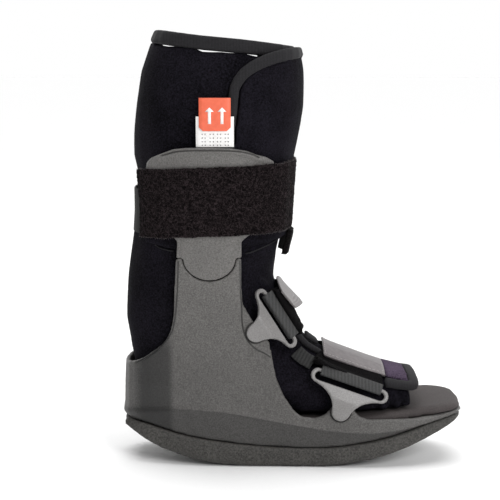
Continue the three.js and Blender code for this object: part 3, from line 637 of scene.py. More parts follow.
def press(
    obj: bpy.types.Object, line: Line, depth: float, width: float, facing: Facing
) -> None:
    """Presses a channel into a surface along a line, or raises a fold where depth is negative.

    Args:
        obj: The piece.
        line: The line in millimetres, as its side sees it.
        depth: Depth of the channel in metres.
        width: Half width of the channel in metres.
        facing: The side that the line is drawn on.
    """
    points, normals = points_of(obj), normals_of(obj)
    axis = np.array(facing.value, float)
    toward = np.clip(2 * normals @ axis, 0, 1) * (points @ axis > 0)
    fall = np.exp(-((away(points, line, facing) / width) ** 2)) * toward
    move_to(obj, points - normals * (depth * fall)[:, None])


def score(
    obj: bpy.types.Object, line: Line, depth: float, width: float, facing: Facing, cuts: int = 3
) -> None:
    """Cuts a fine groove into a surface along a line, once the faces under it are split.

    Args:
        obj: The piece.
        line: The line in millimetres, as its side sees it.
        depth: Depth of the groove in metres.
        width: Half width of the groove in metres.
        facing: The side that the line is drawn on.
        cuts: Cuts across each face under the line.
    """
    points = points_of(obj)
    reach, side = 3 * width + MM, points @ np.array(facing.value)
    near = (away(points, line, facing) < reach) & (side > 0)
    select_only(obj)
    bpy.ops.object.mode_set(mode="EDIT")
    bpy.ops.mesh.select_mode(type="FACE")
    bpy.ops.mesh.select_all(action="DESELECT")
    bpy.ops.object.mode_set(mode="OBJECT")
    for face in obj.data.polygons:
        turned = face.normal.dot(facing.axis) > GRAZING
        face.select = turned and all(near[v] for v in face.vertices)
    bpy.ops.object.mode_set(mode="EDIT")
    bpy.ops.mesh.subdivide(number_cuts=cuts)
    bpy.ops.object.mode_set(mode="OBJECT")
    press(obj, line, depth, width, facing)


@dataclass(frozen=True)
class Stroke:
    """A fold, crease or groove along a line.

    Attributes:
        line: The line in millimetres, as its side sees it.
        depth: Its depth in metres, negative where it is raised.
        width: Its half width in metres.
    """

    line: Line
    depth: float
    width: float

    def press(self, obj: bpy.types.Object, facing: Facing) -> None:
        """Presses it softly into one side of a piece."""
        press(obj, self.line, self.depth, self.width, facing)

    def score(self, obj: bpy.types.Object, facing: Facing) -> None:
        """Cuts it finely into one side of a piece."""
        score(obj, self.line, self.depth, self.width, facing)


def darken(
    obj: bpy.types.Object, kept: np.ndarray, lines: tuple[Line, ...],
    shade: float = 0.72, width: float = 0.62 * MM,
) -> None:
    """Stores how much painted shade darkens a moulding at each point, most in its grooves.

    Args:
        obj: The moulding.
        kept: Share of its brightness that each point keeps, apart from the grooves.
        lines: The grooves in millimetres, as the near side sees them.
        shade: Share of its brightness that the middle of a groove loses to painted shade.
        width: Half width of that shade in metres.
    """
    points, kept = points_of(obj), kept.copy()
    for line in lines:
        kept *= 1 - shade * np.exp(-((away(points, line, Facing.NEAR) / width) ** 2))
    layer = obj.data.attributes.new(PAINTED_SHADE, "FLOAT", "POINT")
    layer.data.foreach_set("value", 1 - kept)


def drape(
    target: bpy.types.Object, line: Line, facing: Facing, step: float
) -> list[tuple[Vector, Vector, Vector]]:
    """Drops a line onto a surface and walks along it in even steps.

    Args:
        target: The piece that the line falls on.
        line: The line in millimetres, as its side sees it.
        facing: The side that the line is drawn on.
        step: Distance between places in metres.

    Returns:
        For each place its point, the surface's normal and the direction of travel.
    """
    tree = BVHTree.FromObject(target, bpy.context.evaluated_depsgraph_get())
    hits = []
    for start in facing.spread(smooth_line(line, steps=24), OUTSIDE):
        point, normal, _, _ = tree.ray_cast(Vector(start), -facing.axis)
        if point is not None:
            hits.append((point, normal))
    walk, last, travelled = [], None, step
    for point, normal in hits:
        if last is not None:
            travelled += (point - last).length
            if travelled >= step:
                walk.append((point, normal, (point - last).normalized()))
                travelled = 0.0
        last = point
    return walk


def tube(
    name: str, target: bpy.types.Object, line: Line, radius: float,
    lift: float = 0.7, voxel: float = 0.7 * MM,
) -> bpy.types.Object:
    """A soft roll that lies half sunk in a surface, along a line of the near side.

    Args:
        name: Name of the roll.
        target: The piece that it lies on.
        line: The line in millimetres.
        radius: Half width of the roll.
        lift: Height of its middle over the surface, as a share of the half width.
        voxel: Size of its faces.

    Returns:
        The roll.
    """
    walk = drape(target, line, Facing.NEAR, 2 * MM)
    bpy.ops.object.select_all(action="DESELECT")
    bpy.ops.curve.primitive_bezier_curve_add()
    roll = bpy.context.object
    roll.name = name
    shape = roll.data
    shape.splines.clear()
    spline = shape.splines.new("POLY")
    spline.points.add(len(walk) - 1)
    for place, (point, normal, _) in zip(spline.points, walk):
        place.co = (*(point + normal * radius * lift), 1)
    shape.dimensions, shape.bevel_depth, shape.bevel_resolution = "3D", radius, 5
    shape.use_fill_caps = True
    select_only(roll)
    bpy.ops.object.convert(target="MESH")
    remesh(roll, voxel, rounds=6)
    return roll


def squeeze(
    obj: bpy.types.Object, heights: tuple[float, ...], moves: tuple[float, ...],
    start: float = -84 * MM, run: float = 26 * MM,
) -> None:
    """Pulls the back of a soft piece in, or lets it out, by its height.

    Args:
        obj: The piece.
        heights: Heights in millimetres, rising.
        moves: How far the back moves forwards at each of them, in millimetres.
        start: Place along the boot behind which it moves.
        run: Distance over which the move grows to its full length.
    """
    points = points_of(obj)
    rear = np.clip((start - points[:, 0]) / run, 0, 1)
    rear = rear * rear * (3 - 2 * rear)
    points[:, 0] += rear * np.interp(points[:, 2], np.array(heights) * MM, np.array(moves) * MM)
    move_to(obj, points)


def copies(
    name: str, model: bpy.types.Object, places: Sequence[Matrix]
) -> bpy.types.Object:
    """One piece made of many copies of a small model, which is then removed.

    Args:
        name: Name of the new piece.
        model: The small model, at the origin.
        places: Where each copy goes.

    Returns:
        The new piece.
    """
    base = points_of(model)
    faces = [tuple(face.vertices) for face in model.data.polygons]
    points, polygons = [], []
    for count, place in enumerate(places):
        turned = np.array(place)
        points.append(base @ turned[:3, :3].T + turned[:3, 3])
        polygons += [tuple(v + count * len(base) for v in face) for face in faces]
    mesh = bpy.data.meshes.new(name)
    mesh.from_pydata(np.vstack(points).tolist(), [], polygons)
    mesh.update()
    obj = bpy.data.objects.new(name, mesh)
    bpy.context.scene.collection.objects.link(obj)
    bpy.data.objects.remove(model)
    select_only(obj)
    bpy.ops.object.shade_smooth()
    return obj


def basis(point: Vector, along: Vector, out: Vector) -> Matrix:
    """Placement at a point with X along a direction and Z out of the surface."""
    x = along.normalized()
    y = out.cross(x).normalized()
    z = x.cross(y)
    return Matrix.Translation(point) @ Matrix((x, y, z)).transposed().to_4x4()


def stitch_row(
    name: str,
    target: bpy.types.Object,
    line: Line,
    facing: Facing,
    finish: Finish,
    length: float = 2.2 * MM,
    pitch: float = 3.2 * MM,
    thick: float = 0.35 * MM,
    lift: float = 0.3,
) -> bpy.types.Object:
    """A row of stitches sewn along a line.

    Args:
        name: Name of the row.
        target: The piece that is sewn.
        line: The line in millimetres, as its side sees it.
        facing: The side that the line is drawn on.
        finish: The thread's finish.
        length: Length of a stitch in metres.
        pitch: Distance from one stitch to the next in metres.
        thick: Half thickness of the thread in metres.
        lift: Height of the thread's middle over the surface, as a share of that.

    Returns:
        The row, as one piece.
    """
    bpy.ops.object.select_all(action="DESELECT")
    bpy.ops.mesh.primitive_cylinder_add(
        vertices=6, radius=thick, depth=length, rotation=(0, math.pi / 2, 0)
    )
    model = bpy.context.object
    bpy.ops.object.transform_apply(location=False, rotation=True, scale=True)
    bpy.ops.object.mode_set(mode="EDIT")
    bpy.ops.mesh.select_all(action="SELECT")
    bpy.ops.mesh.bevel(offset=thick * 0.5, segments=1, affect="EDGES")
    bpy.ops.object.mode_set(mode="OBJECT")
    walk = drape(target, line, facing, pitch)
    places = [basis(point + normal * thick * lift, along, normal) for point, normal, along in walk]
    obj = copies(name, model, places)
    return dress(obj, finish)


def dress(obj: bpy.types.Object, finish: Finish, slot: str = "", *nodes: str) -> bpy.types.Object:
    """Gives a piece its finish, lets it ride the boot, and lets it stand for its CAD nodes.

    Args:
        obj: The piece.
        finish: Its finish.
        slot: The record's material slot, if it has one; not used.
        nodes: The CAD nodes that it stands for.

    Returns:
        The same piece.
    """
    obj.data.materials.clear()
    obj.data.materials.append(finish.material())
    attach(obj, "root")
    if nodes:
        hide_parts(*nodes)
    log.info("%s: %d faces, %s", obj.name, len(obj.data.polygons), finish.name)
    return obj


@dataclass(frozen=True)
class Bar:
    """The bar of a buckle, where the webbing turns round it.

    Attributes:
        node: The buckle's CAD node.
        foot: Place of the buckle's rounded foot, across and up the near side, in millimetres.
        slope: Slope of the slot in degrees.
        tilt: Lean of the slot's end towards the foot in degrees.
        length: Width of the webbing.
        reach: Distance of the turned webbing's middle from the buckle's foot.
        half: Half width of the turned webbing, across the bar.
    """

    node: str
    foot: tuple[float, float]
    slope: float
    tilt: float
    length: float
    reach: float
    half: float

    def place(self, wall: float, bend: float) -> Matrix:
        """Placement of the bar's middle, with X along it and Z out of the plate.

        Args:
            wall: Thickness of the plate.
            bend: Distance of the plate's bend from the foot.

        Returns:
            The placement.
        """
        slope = math.radians(self.slope)
        front = points_of(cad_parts[self.node])[:, 1].min()
        run = Vector((math.cos(slope), 0, math.sin(slope)))
        up = Vector((-math.sin(slope), 0, math.cos(slope)))
        turned = Matrix((run, up, Vector((0, -1, 0)))).transposed().to_4x4()
        foot = Matrix.Translation((self.foot[0] * MM, front + wall, self.foot[1] * MM))
        hinge = Matrix.Translation((0, bend, wall / 2))
        lean = Matrix.Rotation(-math.radians(self.tilt), 4, "X")
        return foot @ turned @ hinge @ lean @ Matrix.Translation((0, self.reach - bend, 0))


BARS = (
    Bar(
        "buckle_upper", foot=(-30.35, 112.8), slope=-57.5, tilt=43,
        length=41.5 * MM, reach=29.0 * MM, half=5.4 * MM,
    ),
    Bar(
        "buckle_lower", foot=(38.9, 47.3), slope=-19.3, tilt=21,
        length=52 * MM, reach=28.4 * MM, half=4.6 * MM,
    ),
)


@dataclass
class Mouldings:
    """The rocker sole, the shell, the footbed and the two struts.

    Attributes:
        shell_voxel: Size of the shell's faces.
        sole_voxel: Size of the sole's and the footbed's faces.
        strut_voxel: Size of a strut's faces.
        heel_end: The rocker sole's rearmost place along the boot.
        heel_roll: How much fuller it is under the heel's end.
        roll_start: Place along the boot behind which it grows fuller.
        roll_run: Distance over which it does.
        heel_rise: How much higher its upper edge is there, close under the shell.
        rise_start: Place along the boot behind which that edge rises.
        rise_run: Distance over which it does.
        level: A normal's rise up to which the sole's wall counts as upright.
        groove: Depth of the line moulded just inside the shell's edges.
        edge_width: Half width of that line.
        rear_edge: That line on the upright's rear edge, and on along the heel cup.
        front_edge: That line on the upright's front edge, and on under the upper ear.
        ear_width: Half width of the groove round an ear.
        ear_reach: Distance of that groove from the middle of the buckle's foot, in millimetres.
        ear_turns: Turns of its points from the slope of the buckle's slot, in degrees.
        chine: The base's widest line, under which the shell has painted shade.
        chine_rise: Height of the fine ridge along it.
        chine_width: Half width of that ridge.
        chine_blend: Height over which that painted shade fades in, in millimetres.
        shade_below_chine: Share of painted shade that darkens the shell under the chine.
        shade_low_on_base: That share of painted shade for the base, against the uprights' upper
            ends.
        base_top: Height in millimetres above which that share is nothing.
        base_run: Height over which it grows.
        shade_on_cup_flank: That share of painted shade for the flank of the heel cup.
        cup_places: Places along the heel cup, in millimetres.
        cup_shares: How much of that share holds at each of those places.
        cup_top: Height in millimetres above which the cup's share is nothing.
        cup_run: Height over which it grows.
        dish: The shallow dish over each strut's key.
        lip: The raised lip along a strut's head.
        bevels: The lines where a strut's neck turns to its edges.
    """

    shell_voxel: float = 1.5 * MM
    sole_voxel: float = 1.6 * MM
    strut_voxel: float = 1.0 * MM
    heel_end: float = -139.2 * MM
    heel_roll: float = 4.5 * MM
    roll_start: float = -98 * MM
    roll_run: float = 30 * MM
    heel_rise: float = 0.9 * MM
    rise_start: float = -130 * MM
    rise_run: float = 6 * MM
    level: float = 0.05
    groove: float = 0.9 * MM
    edge_width: float = 0.42 * MM
    ear_width: float = 0.45 * MM
    ear_reach: float = 8.3
    ear_turns: range = range(165, 380, 15)
    chine_rise: float = 0.2 * MM
    chine_width: float = 0.5 * MM
    chine_blend: float = 1.2
    shade_below_chine: float = 0.47
    shade_low_on_base: float = 0.2
    base_top: float = 150
    base_run: float = 80
    shade_on_cup_flank: float = 0.86
    cup_top: float = 118
    cup_run: float = 20
    cup_places: tuple[float, ...] = (-138, -131, -124, -102, -97)
    cup_shares: tuple[float, ...] = (0, 0.4, 1, 0.85, 0)
    lip: Stroke = Stroke(
        (
            (-104.9, 257.3), (-94.2, 260.3), (-81.5, 261.4), (-56.1, 261.4), (-42.4, 260.4),
            (-32.8, 258.1), (-28.1, 255.7),
        ), 1.0 * MM, 0.6 * MM,
    )
    bevels: tuple[Stroke, ...] = (
        Stroke(((-90.8, 189.3), (-92.2, 175.3)), 0.35 * MM, 0.5 * MM),
        Stroke(((-45.1, 189.3), (-43.0, 175.3)), 0.35 * MM, 0.5 * MM),
    )
    chine: Line = (
        (-142.5, 44.4), (-129.1, 46.2), (-119.1, 47.3), (-99.8, 48.3), (-78.9, 47.6), (-59, 46.4),
        (-39.9, 43.4), (-8.6, 37.5), (25.7, 31.8), (42.8, 30), (65.6, 29.6), (88.4, 32.1),
        (108.3, 36.8), (125.4, 40.9), (142.5, 43.7),
    )
    dish: Stroke = Stroke(
        ((-83, 182), (-75, 176.5), (-64.5, 174), (-55, 176), (-47, 181.5)), 0.45 * MM, 2.2 * MM
    )
    rear_edge: Line = (
        (-92.9, 172.0), (-94.0, 147.0), (-95.7, 128.1), (-98.0, 115.5), (-100.7, 110.1),
        (-103.9, 105.5), (-109.2, 98.9), (-114.5, 94.2), (-121.7, 89.4), (-128.7, 84.7),
    )
    front_edge: Line = (
        (-43.3, 172.0), (-42.8, 148.0), (-42.0, 137.1), (-41.7, 123.5), (-40.0, 113.3),
        (-36.6, 105.8), (-30.6, 99.4), (-23.8, 96.0), (-18.8, 92.6),
    )

    def build(self) -> None:
        """Builds and dresses every moulding."""
        self.sole()
        self.shell()
        for side, facing in (("near", Facing.NEAR), ("far", Facing.FAR)):
            self.strut(side, facing)

    def sole(self) -> None:
        """The outsole and the foam footbed on it."""
        sole = copy_of("outsole", "rocker_sole")
        remesh(sole, self.sole_voxel, rounds=3)
        points, normals = points_of(sole), normals_of(sole)
        under = normals[:, 2] < -self.level
        rear = np.clip((self.roll_start - points[:, 0]) / self.roll_run, 0, 1) * under
        points[:, ::2] += normals[:, ::2] * (self.heel_roll * rear)[:, None]
        upper = normals[:, 2] > -self.level
        edge = np.clip((self.rise_start - points[:, 0]) / self.rise_run, 0, 1) * upper
        points[:, 2] += self.heel_rise * edge
        points[:, 0] = np.maximum(points[:, 0], self.heel_end)
        move_to(sole, points)
        dress(sole, SOLE_RUBBER, "rubber", "outsole")
        bed = copy_of("footbed", "foam_footbed")
        remesh(bed, self.sole_voxel, rounds=4)
        dress(bed, FOOTBED_FOAM, "foam", "footbed")

    def shell(self) -> None:
        """The base tray with its heel cup, uprights and ears."""
        shell = copy_of("shell", "moulded_shell")
        remesh(shell, self.shell_voxel, rounds=3)
        for facing in (Facing.NEAR, Facing.FAR):
            for line in (self.rear_edge, self.front_edge):
                score(shell, line, self.groove, self.edge_width, facing)
            score(shell, self.chine[2:-1], -self.chine_rise, self.chine_width, facing)
        ears = tuple(self.ear_line(bar) for bar in BARS)
        for ear in ears:
            score(shell, ear, self.groove, self.ear_width, Facing.NEAR)
        # Painted shade under the chine, low on the base, on the heel cup's flank and in the grooves
        darken(shell, self.tone(shell), (self.rear_edge, self.front_edge, *ears))
        dress(shell, SHELL_PLASTIC, "moulding", "shell")

    def ear_line(self, bar: Bar) -> Line:
        """The line that an ear is cut to, round the foot of a bar's buckle."""
        (x, z), reach = bar.foot, self.ear_reach
        turns = [math.radians(bar.slope + turn) for turn in self.ear_turns]
        return [(x + reach * math.cos(turn), z + reach * math.sin(turn)) for turn in turns]

    def tone(self, shell: bpy.types.Object) -> np.ndarray:
        """Share of its brightness that each of the shell's points keeps under its painted shade."""
        x, _, z = points_of(shell).T / MM
        over, height = np.array(self.chine, float).T
        below = np.clip((np.interp(x, over, height) - z) / self.chine_blend + 0.5, 0, 1)
        base = np.clip((self.base_top - z) / self.base_run, 0, 1)
        cup = np.interp(x, self.cup_places, self.cup_shares)
        cup *= np.clip((self.cup_top - z) / self.cup_run, 0, 1)
        kept = np.ones(len(x))
        for share, amount in (
            (self.shade_below_chine, below), (self.shade_low_on_base, base), (self.shade_on_cup_flank, cup),
        ):
            kept *= 1 - share * amount
        return kept

    def strut(self, side: str, facing: Facing) -> None:
        """One strut, with a shallow dish pressed into its neck."""
        strut = copy_of(f"strut_{side}", f"{side}_strut")
        remesh(strut, self.strut_voxel, rounds=3)
        self.dish.press(strut, facing)
        for stroke in (self.lip, *self.bevels):
            stroke.score(strut, facing)
        # Painted shade in the groove under the head's lip
        darken(strut, np.ones(len(strut.data.vertices)), (self.lip.line,))
        dress(strut, STRUT_PLASTIC, "moulding", f"strut_{side}")


@dataclass
class PaddedBoot:
    """The padded fabric boot, its front panel, its band and their bound edges.

    Attributes:
        voxel: Size of the boot's faces before they are halved.
        tuck: How far the boot starts inside its solid.
        cap: The furthest that pressure may move a point.
        panel_voxel: Size of the panel's faces.
        panel_cap: The furthest that pressure may move a point of the panel.
        panel_crease: The panel's long crease.
        edge_voxel: Size of an edging's faces.
        folds: The boot's folds and creases on the near side.
        far_crease: The one on the far side.
        slump: How high above the footbed the cloth slumps onto it.
        slump_gain: How soon it comes to rest there, against an even fall.
        sink: Share of its height over the footbed that it loses where it rests.
        foot_start: Place along the boot behind which it doesn't slump.
        foot_run: Distance over which it begins to.
        side_start: Distance from the middle within which it doesn't slump.
        side_run: Distance over which it begins to.
        spread: How far it spreads outwards where it rests.
        reach: How far the toe end reaches past its solid.
        reach_start: Place along the boot from where it reaches out.
        reach_run: Distance over which it does.
        bed: Places along the foot and the footbed's height there, in millimetres.
        waist_heights: Heights at which the boot's back is drawn in or let out, in millimetres.
        waist: How far it is drawn in at each, where the calf strap pulls it.
        roll: How much thicker than its solid a rolled edging is.
        lap: How far the edging at the top laps down over the boot.
        rolls: Lines and half widths of the boot's gathered front edge under the foot straps.
        hems: Lines of the band's rolled lower hem, behind and before the strut.
        hem_radius: Half width of that hem.
        band_cut: Length and width for the band; not used.
        tab_cut: Length and width of its tab; not used.
    """

    voxel: float = 3.9 * MM
    tuck: float = 0.7 * MM
    cap: float = 1.2 * MM
    panel_voxel: float = 1.6 * MM
    panel_cap: float = 0.4 * MM
    panel_crease: Stroke = Stroke(
        ((-31.8, 312), (-33.2, 289), (-38.4, 263)), 1.6 * MM, 2.2 * MM
    )
    edge_voxel: float = 1.2 * MM
    folds: tuple[Stroke, ...] = (
        Stroke(((-44, 168), (-34, 176), (-22, 176), (-14, 168)), -1.8 * MM, 4.0 * MM),
        Stroke(((-46, 158), (-34, 160), (-24, 157), (-16, 150)), 2.6 * MM, 3.0 * MM),
        Stroke(((-30, 150), (-22, 142), (-16, 134)), 2.0 * MM, 2.6 * MM),
        Stroke(((66, 62), (68, 55), (70, 48)), 2.2 * MM, 2.0 * MM),
        Stroke(((77, 62), (80, 55), (81, 48)), 2.6 * MM, 2.0 * MM),
        Stroke(((87, 62), (89, 56), (90, 50)), 2.2 * MM, 1.8 * MM),
        Stroke(((72, 62), (74, 54), (75, 48)), -1.4 * MM, 2.2 * MM),
        Stroke(((83, 62), (85, 56), (86, 50)), -1.4 * MM, 2.2 * MM),
        Stroke(((-120, 300), (-119, 262), (-121, 240)), 0.7 * MM, 5.0 * MM),
        Stroke(((-108, 176), (-112, 150), (-111, 126)), 0.8 * MM, 6.0 * MM),
    )
    far_crease: Stroke = Stroke(((-60, 345), (-62, 250), (-66, 190)), 0.5 * MM, 1.4 * MM)
    slump: float = 18 * MM
    slump_gain: float = 1.15
    sink: float = 0.9
    foot_start: float = -16 * MM
    foot_run: float = 24 * MM
    side_start: float = 14 * MM
    side_run: float = 16 * MM
    waist_heights: tuple[float, ...] = (100, 118, 192, 206, 212, 222, 236, 244, 254, 330)
    waist: tuple[float, ...] = (0, -2.2, -1.6, -0.6, 3.5, 4, 2.5, 0.5, -1.4, -1)
    roll: float = 0.3 * MM
    lap: float = 2.2 * MM
    rolls: tuple[tuple[Line, float], ...] = (
        (((3.1, 110.8), (13.2, 101.1), (25.7, 93.0)), 3.0),
        (((1.2, 106.8), (10.3, 96.7), (23.6, 88.3)), 2.8),
    )
    spread: float = 9 * MM
    reach: float = 3 * MM
    reach_start: float = 78 * MM
    reach_run: float = 16 * MM
    band_cut: tuple[float, float] = (320 * MM, 49 * MM)
    tab_cut: tuple[float, float] = (50 * MM, 25 * MM)
    hems: tuple[Line, ...] = (
        ((-113.3, 186.9), (-110.9, 182.9), (-104.1, 180.4), (-95.3, 179.2)),
        ((-39.7, 176.8), (-33.6, 178.0), (-26.6, 180.4), (-19.1, 183.0), (-12.1, 185.7)),
    )
    hem_radius: float = 0.8 * MM
    bed: Line = ((-20, 39.1), (0, 38.7), (20, 39.5), (40, 41.1), (60, 43.1), (80, 46.2), (97, 48.2))

    def build(self) -> None:
        """Builds and dresses the boot from the inside out."""
        self.boot()
        self.panel()
        self.edgings()
        self.band()

    def boot(self) -> None:
        """The hollow boot, puffed and then creased at the ankle and over the toes."""
        boot = copy_of("liner_boot", "padded_boot")
        remesh(boot, self.voxel, rounds=2)
        swell(boot, -self.tuck)
        puff(boot, self.cap)
        apply(boot, "SUBSURF", levels=1, render_levels=1)
        self.settle(boot)
        squeeze(boot, self.waist_heights, self.waist)
        for fold in self.folds:
            fold.press(boot, Facing.NEAR)
        self.far_crease.press(boot, Facing.FAR)
        dress(boot, LINER_FLEECE, "fleece", "liner_boot")

    def settle(self, boot: bpy.types.Object) -> None:
        """Slumps the foot's rounded lower edges onto the footbed and spreads them outwards."""
        points = points_of(boot)
        along, floor = np.array(self.bed, float).T * MM
        height = points[:, 2] - np.interp(points[:, 0], along, floor)
        low = np.clip(self.slump_gain * (1 - height / self.slump), 0, 1) * (height > 0)
        low *= np.clip((points[:, 0] - self.foot_start) / self.foot_run, 0, 1)
        outer = np.clip((np.abs(points[:, 1]) - self.side_start) / self.side_run, 0, 1)
        points[:, 1] += np.sign(points[:, 1]) * self.spread * low * outer
        points[:, 2] -= self.sink * height * low * outer
        toe = np.clip((points[:, 0] - self.reach_start) / self.reach_run, 0, 1)
        points[:, 0] += self.reach * toe
        move_to(boot, points)

    def panel(self) -> None:
        """The front panel that laps over on the near side, with its long crease."""
        panel = copy_of("liner_flap", "front_panel")
        remesh(panel, self.panel_voxel, rounds=4)
        puff(panel, self.panel_cap)
        self.panel_crease.press(panel, Facing.NEAR)
        dress(panel, LINER_FLEECE, "fleece", "liner_flap")

    def edgings(self) -> None:
        """The bound edges of the collar, the panel and the instep."""
        for node_name, name in (
            ("collar_binding", "collar_edging"),
            ("flap_binding", "panel_edging"),
            ("instep_binding", "instep_edging"),
        ):
            edging = copy_of(node_name, name)
            remesh(edging, self.edge_voxel, rounds=6)
            swell(edging, self.roll)
            if node_name != "instep_binding":
                points, down = points_of(edging), np.clip(-normals_of(edging)[:, 2], 0, 1)
                points[:, 2] -= self.lap * down
                move_to(edging, points)
            dress(edging, EDGE_KNIT, "binding", node_name)
        boot = bpy.data.objects["padded_boot"]
        for count, (line, thick) in enumerate(self.rolls):
            dress(tube(f"gathered_edge_{count}", boot, line, thick * MM), EDGE_KNIT)

    def band(self) -> None:
        """The fabric band under the struts, and its tab at the front."""
        boot = bpy.data.objects["padded_boot"]
        band = copy_of("calf_band", "calf_band_cloth")
        remesh(band, self.panel_voxel, rounds=4)
        dress(band, LINER_FLEECE, "fleece", "calf_band")
        hems = [
            dress(tube(f"band_hem_{count}", boot, line, self.hem_radius), EDGE_KNIT)
            for count, line in enumerate(self.hems)
        ]
        tab = copy_of("band_tab", "band_tab_cloth")
        remesh(tab, self.panel_voxel, rounds=4)
        dress(tab, TAB_PILE, "loop", "band_tab")


@dataclass
class CalfStraps:
    """The wide loop-faced strap round the calf and the narrower one behind it.

    Attributes:
        voxel: Size of a strap's faces.
        nap: How far the pile's surface rises and falls.
        seed: Seed of the pile's and the fibres' random draws.
        waist_heights: Heights between which the strap's back is drawn in, in millimetres.
        waist: How far it is drawn in at each.
        fibre: Length of a loose fibre at the edges.
        fibre_root: Half width of its root.
        fibre_tip: Half width of its tip.
        fibres: Number of loose fibres.
        edge_rise: A normal's rise past which a point counts as on a cut edge.
        lean: How far a fibre leans from the edge's own direction.
        strap_cut: Length and width for the calf strap; not used.
        back_cut: Length and width of the strap behind it; not used.
    """

    voxel: float = 1.2 * MM
    nap: float = 0.25 * MM
    seed: int = 7
    waist_heights: tuple[float, ...] = (202, 252)
    waist: tuple[float, ...] = (5, 2)
    fibre: float = 2.2 * MM
    fibre_root: float = 0.11 * MM
    fibre_tip: float = 0.03 * MM
    fibres: int = 3200
    edge_rise: float = 0.55
    lean: float = 0.45
    strap_cut: tuple[float, float] = (385 * MM, 57 * MM)
    back_cut: tuple[float, float] = (76 * MM, 35 * MM)

    def build(self) -> None:
        """Builds and dresses both straps."""
        strap = copy_of("calf_strap", "calf_strap_pile")
        remesh(strap, self.voxel, rounds=3)
        chance = np.random.default_rng(self.seed)
        rough = chance.normal(0, self.nap, len(strap.data.vertices))
        move_to(strap, points_of(strap) + normals_of(strap) * rough[:, None])
        squeeze(strap, self.waist_heights, self.waist)
        dress(strap, STRAP_PILE, "loop", "calf_strap")
        fibres = self.fuzz(strap, chance)
        back = copy_of("back_strap", "back_strap_webbing")
        remesh(back, self.voxel, rounds=3)
        dress(back, BACK_WEBBING, "webbing", "back_strap")

    def fuzz(self, strap: bpy.types.Object, chance: np.random.Generator) -> bpy.types.Object:
        """Loose fibres that stand out from the strap's cut edges.

        Args:
            strap: The strap.
            chance: The source of the fibres' places and leans.

        Returns:
            The fibres.
        """
        points, normals = points_of(strap), normals_of(strap)
        edge = np.flatnonzero(np.abs(normals[:, 2]) > self.edge_rise)
        places = []
        for vertex in chance.choice(edge, self.fibres):
            lean = Vector(normals[vertex]) + Vector(chance.normal(0, self.lean, 3))
            across = Vector(chance.normal(0, 1, 3))
            places.append(basis(Vector(points[vertex]), across.cross(lean), lean))
        bpy.ops.object.select_all(action="DESELECT")
        bpy.ops.mesh.primitive_cone_add(
            vertices=3, radius1=self.fibre_root, radius2=self.fibre_tip, depth=self.fibre
        )
        return dress(copies("strap_edge_fibres", bpy.context.object, places), CUT_FIBRES)


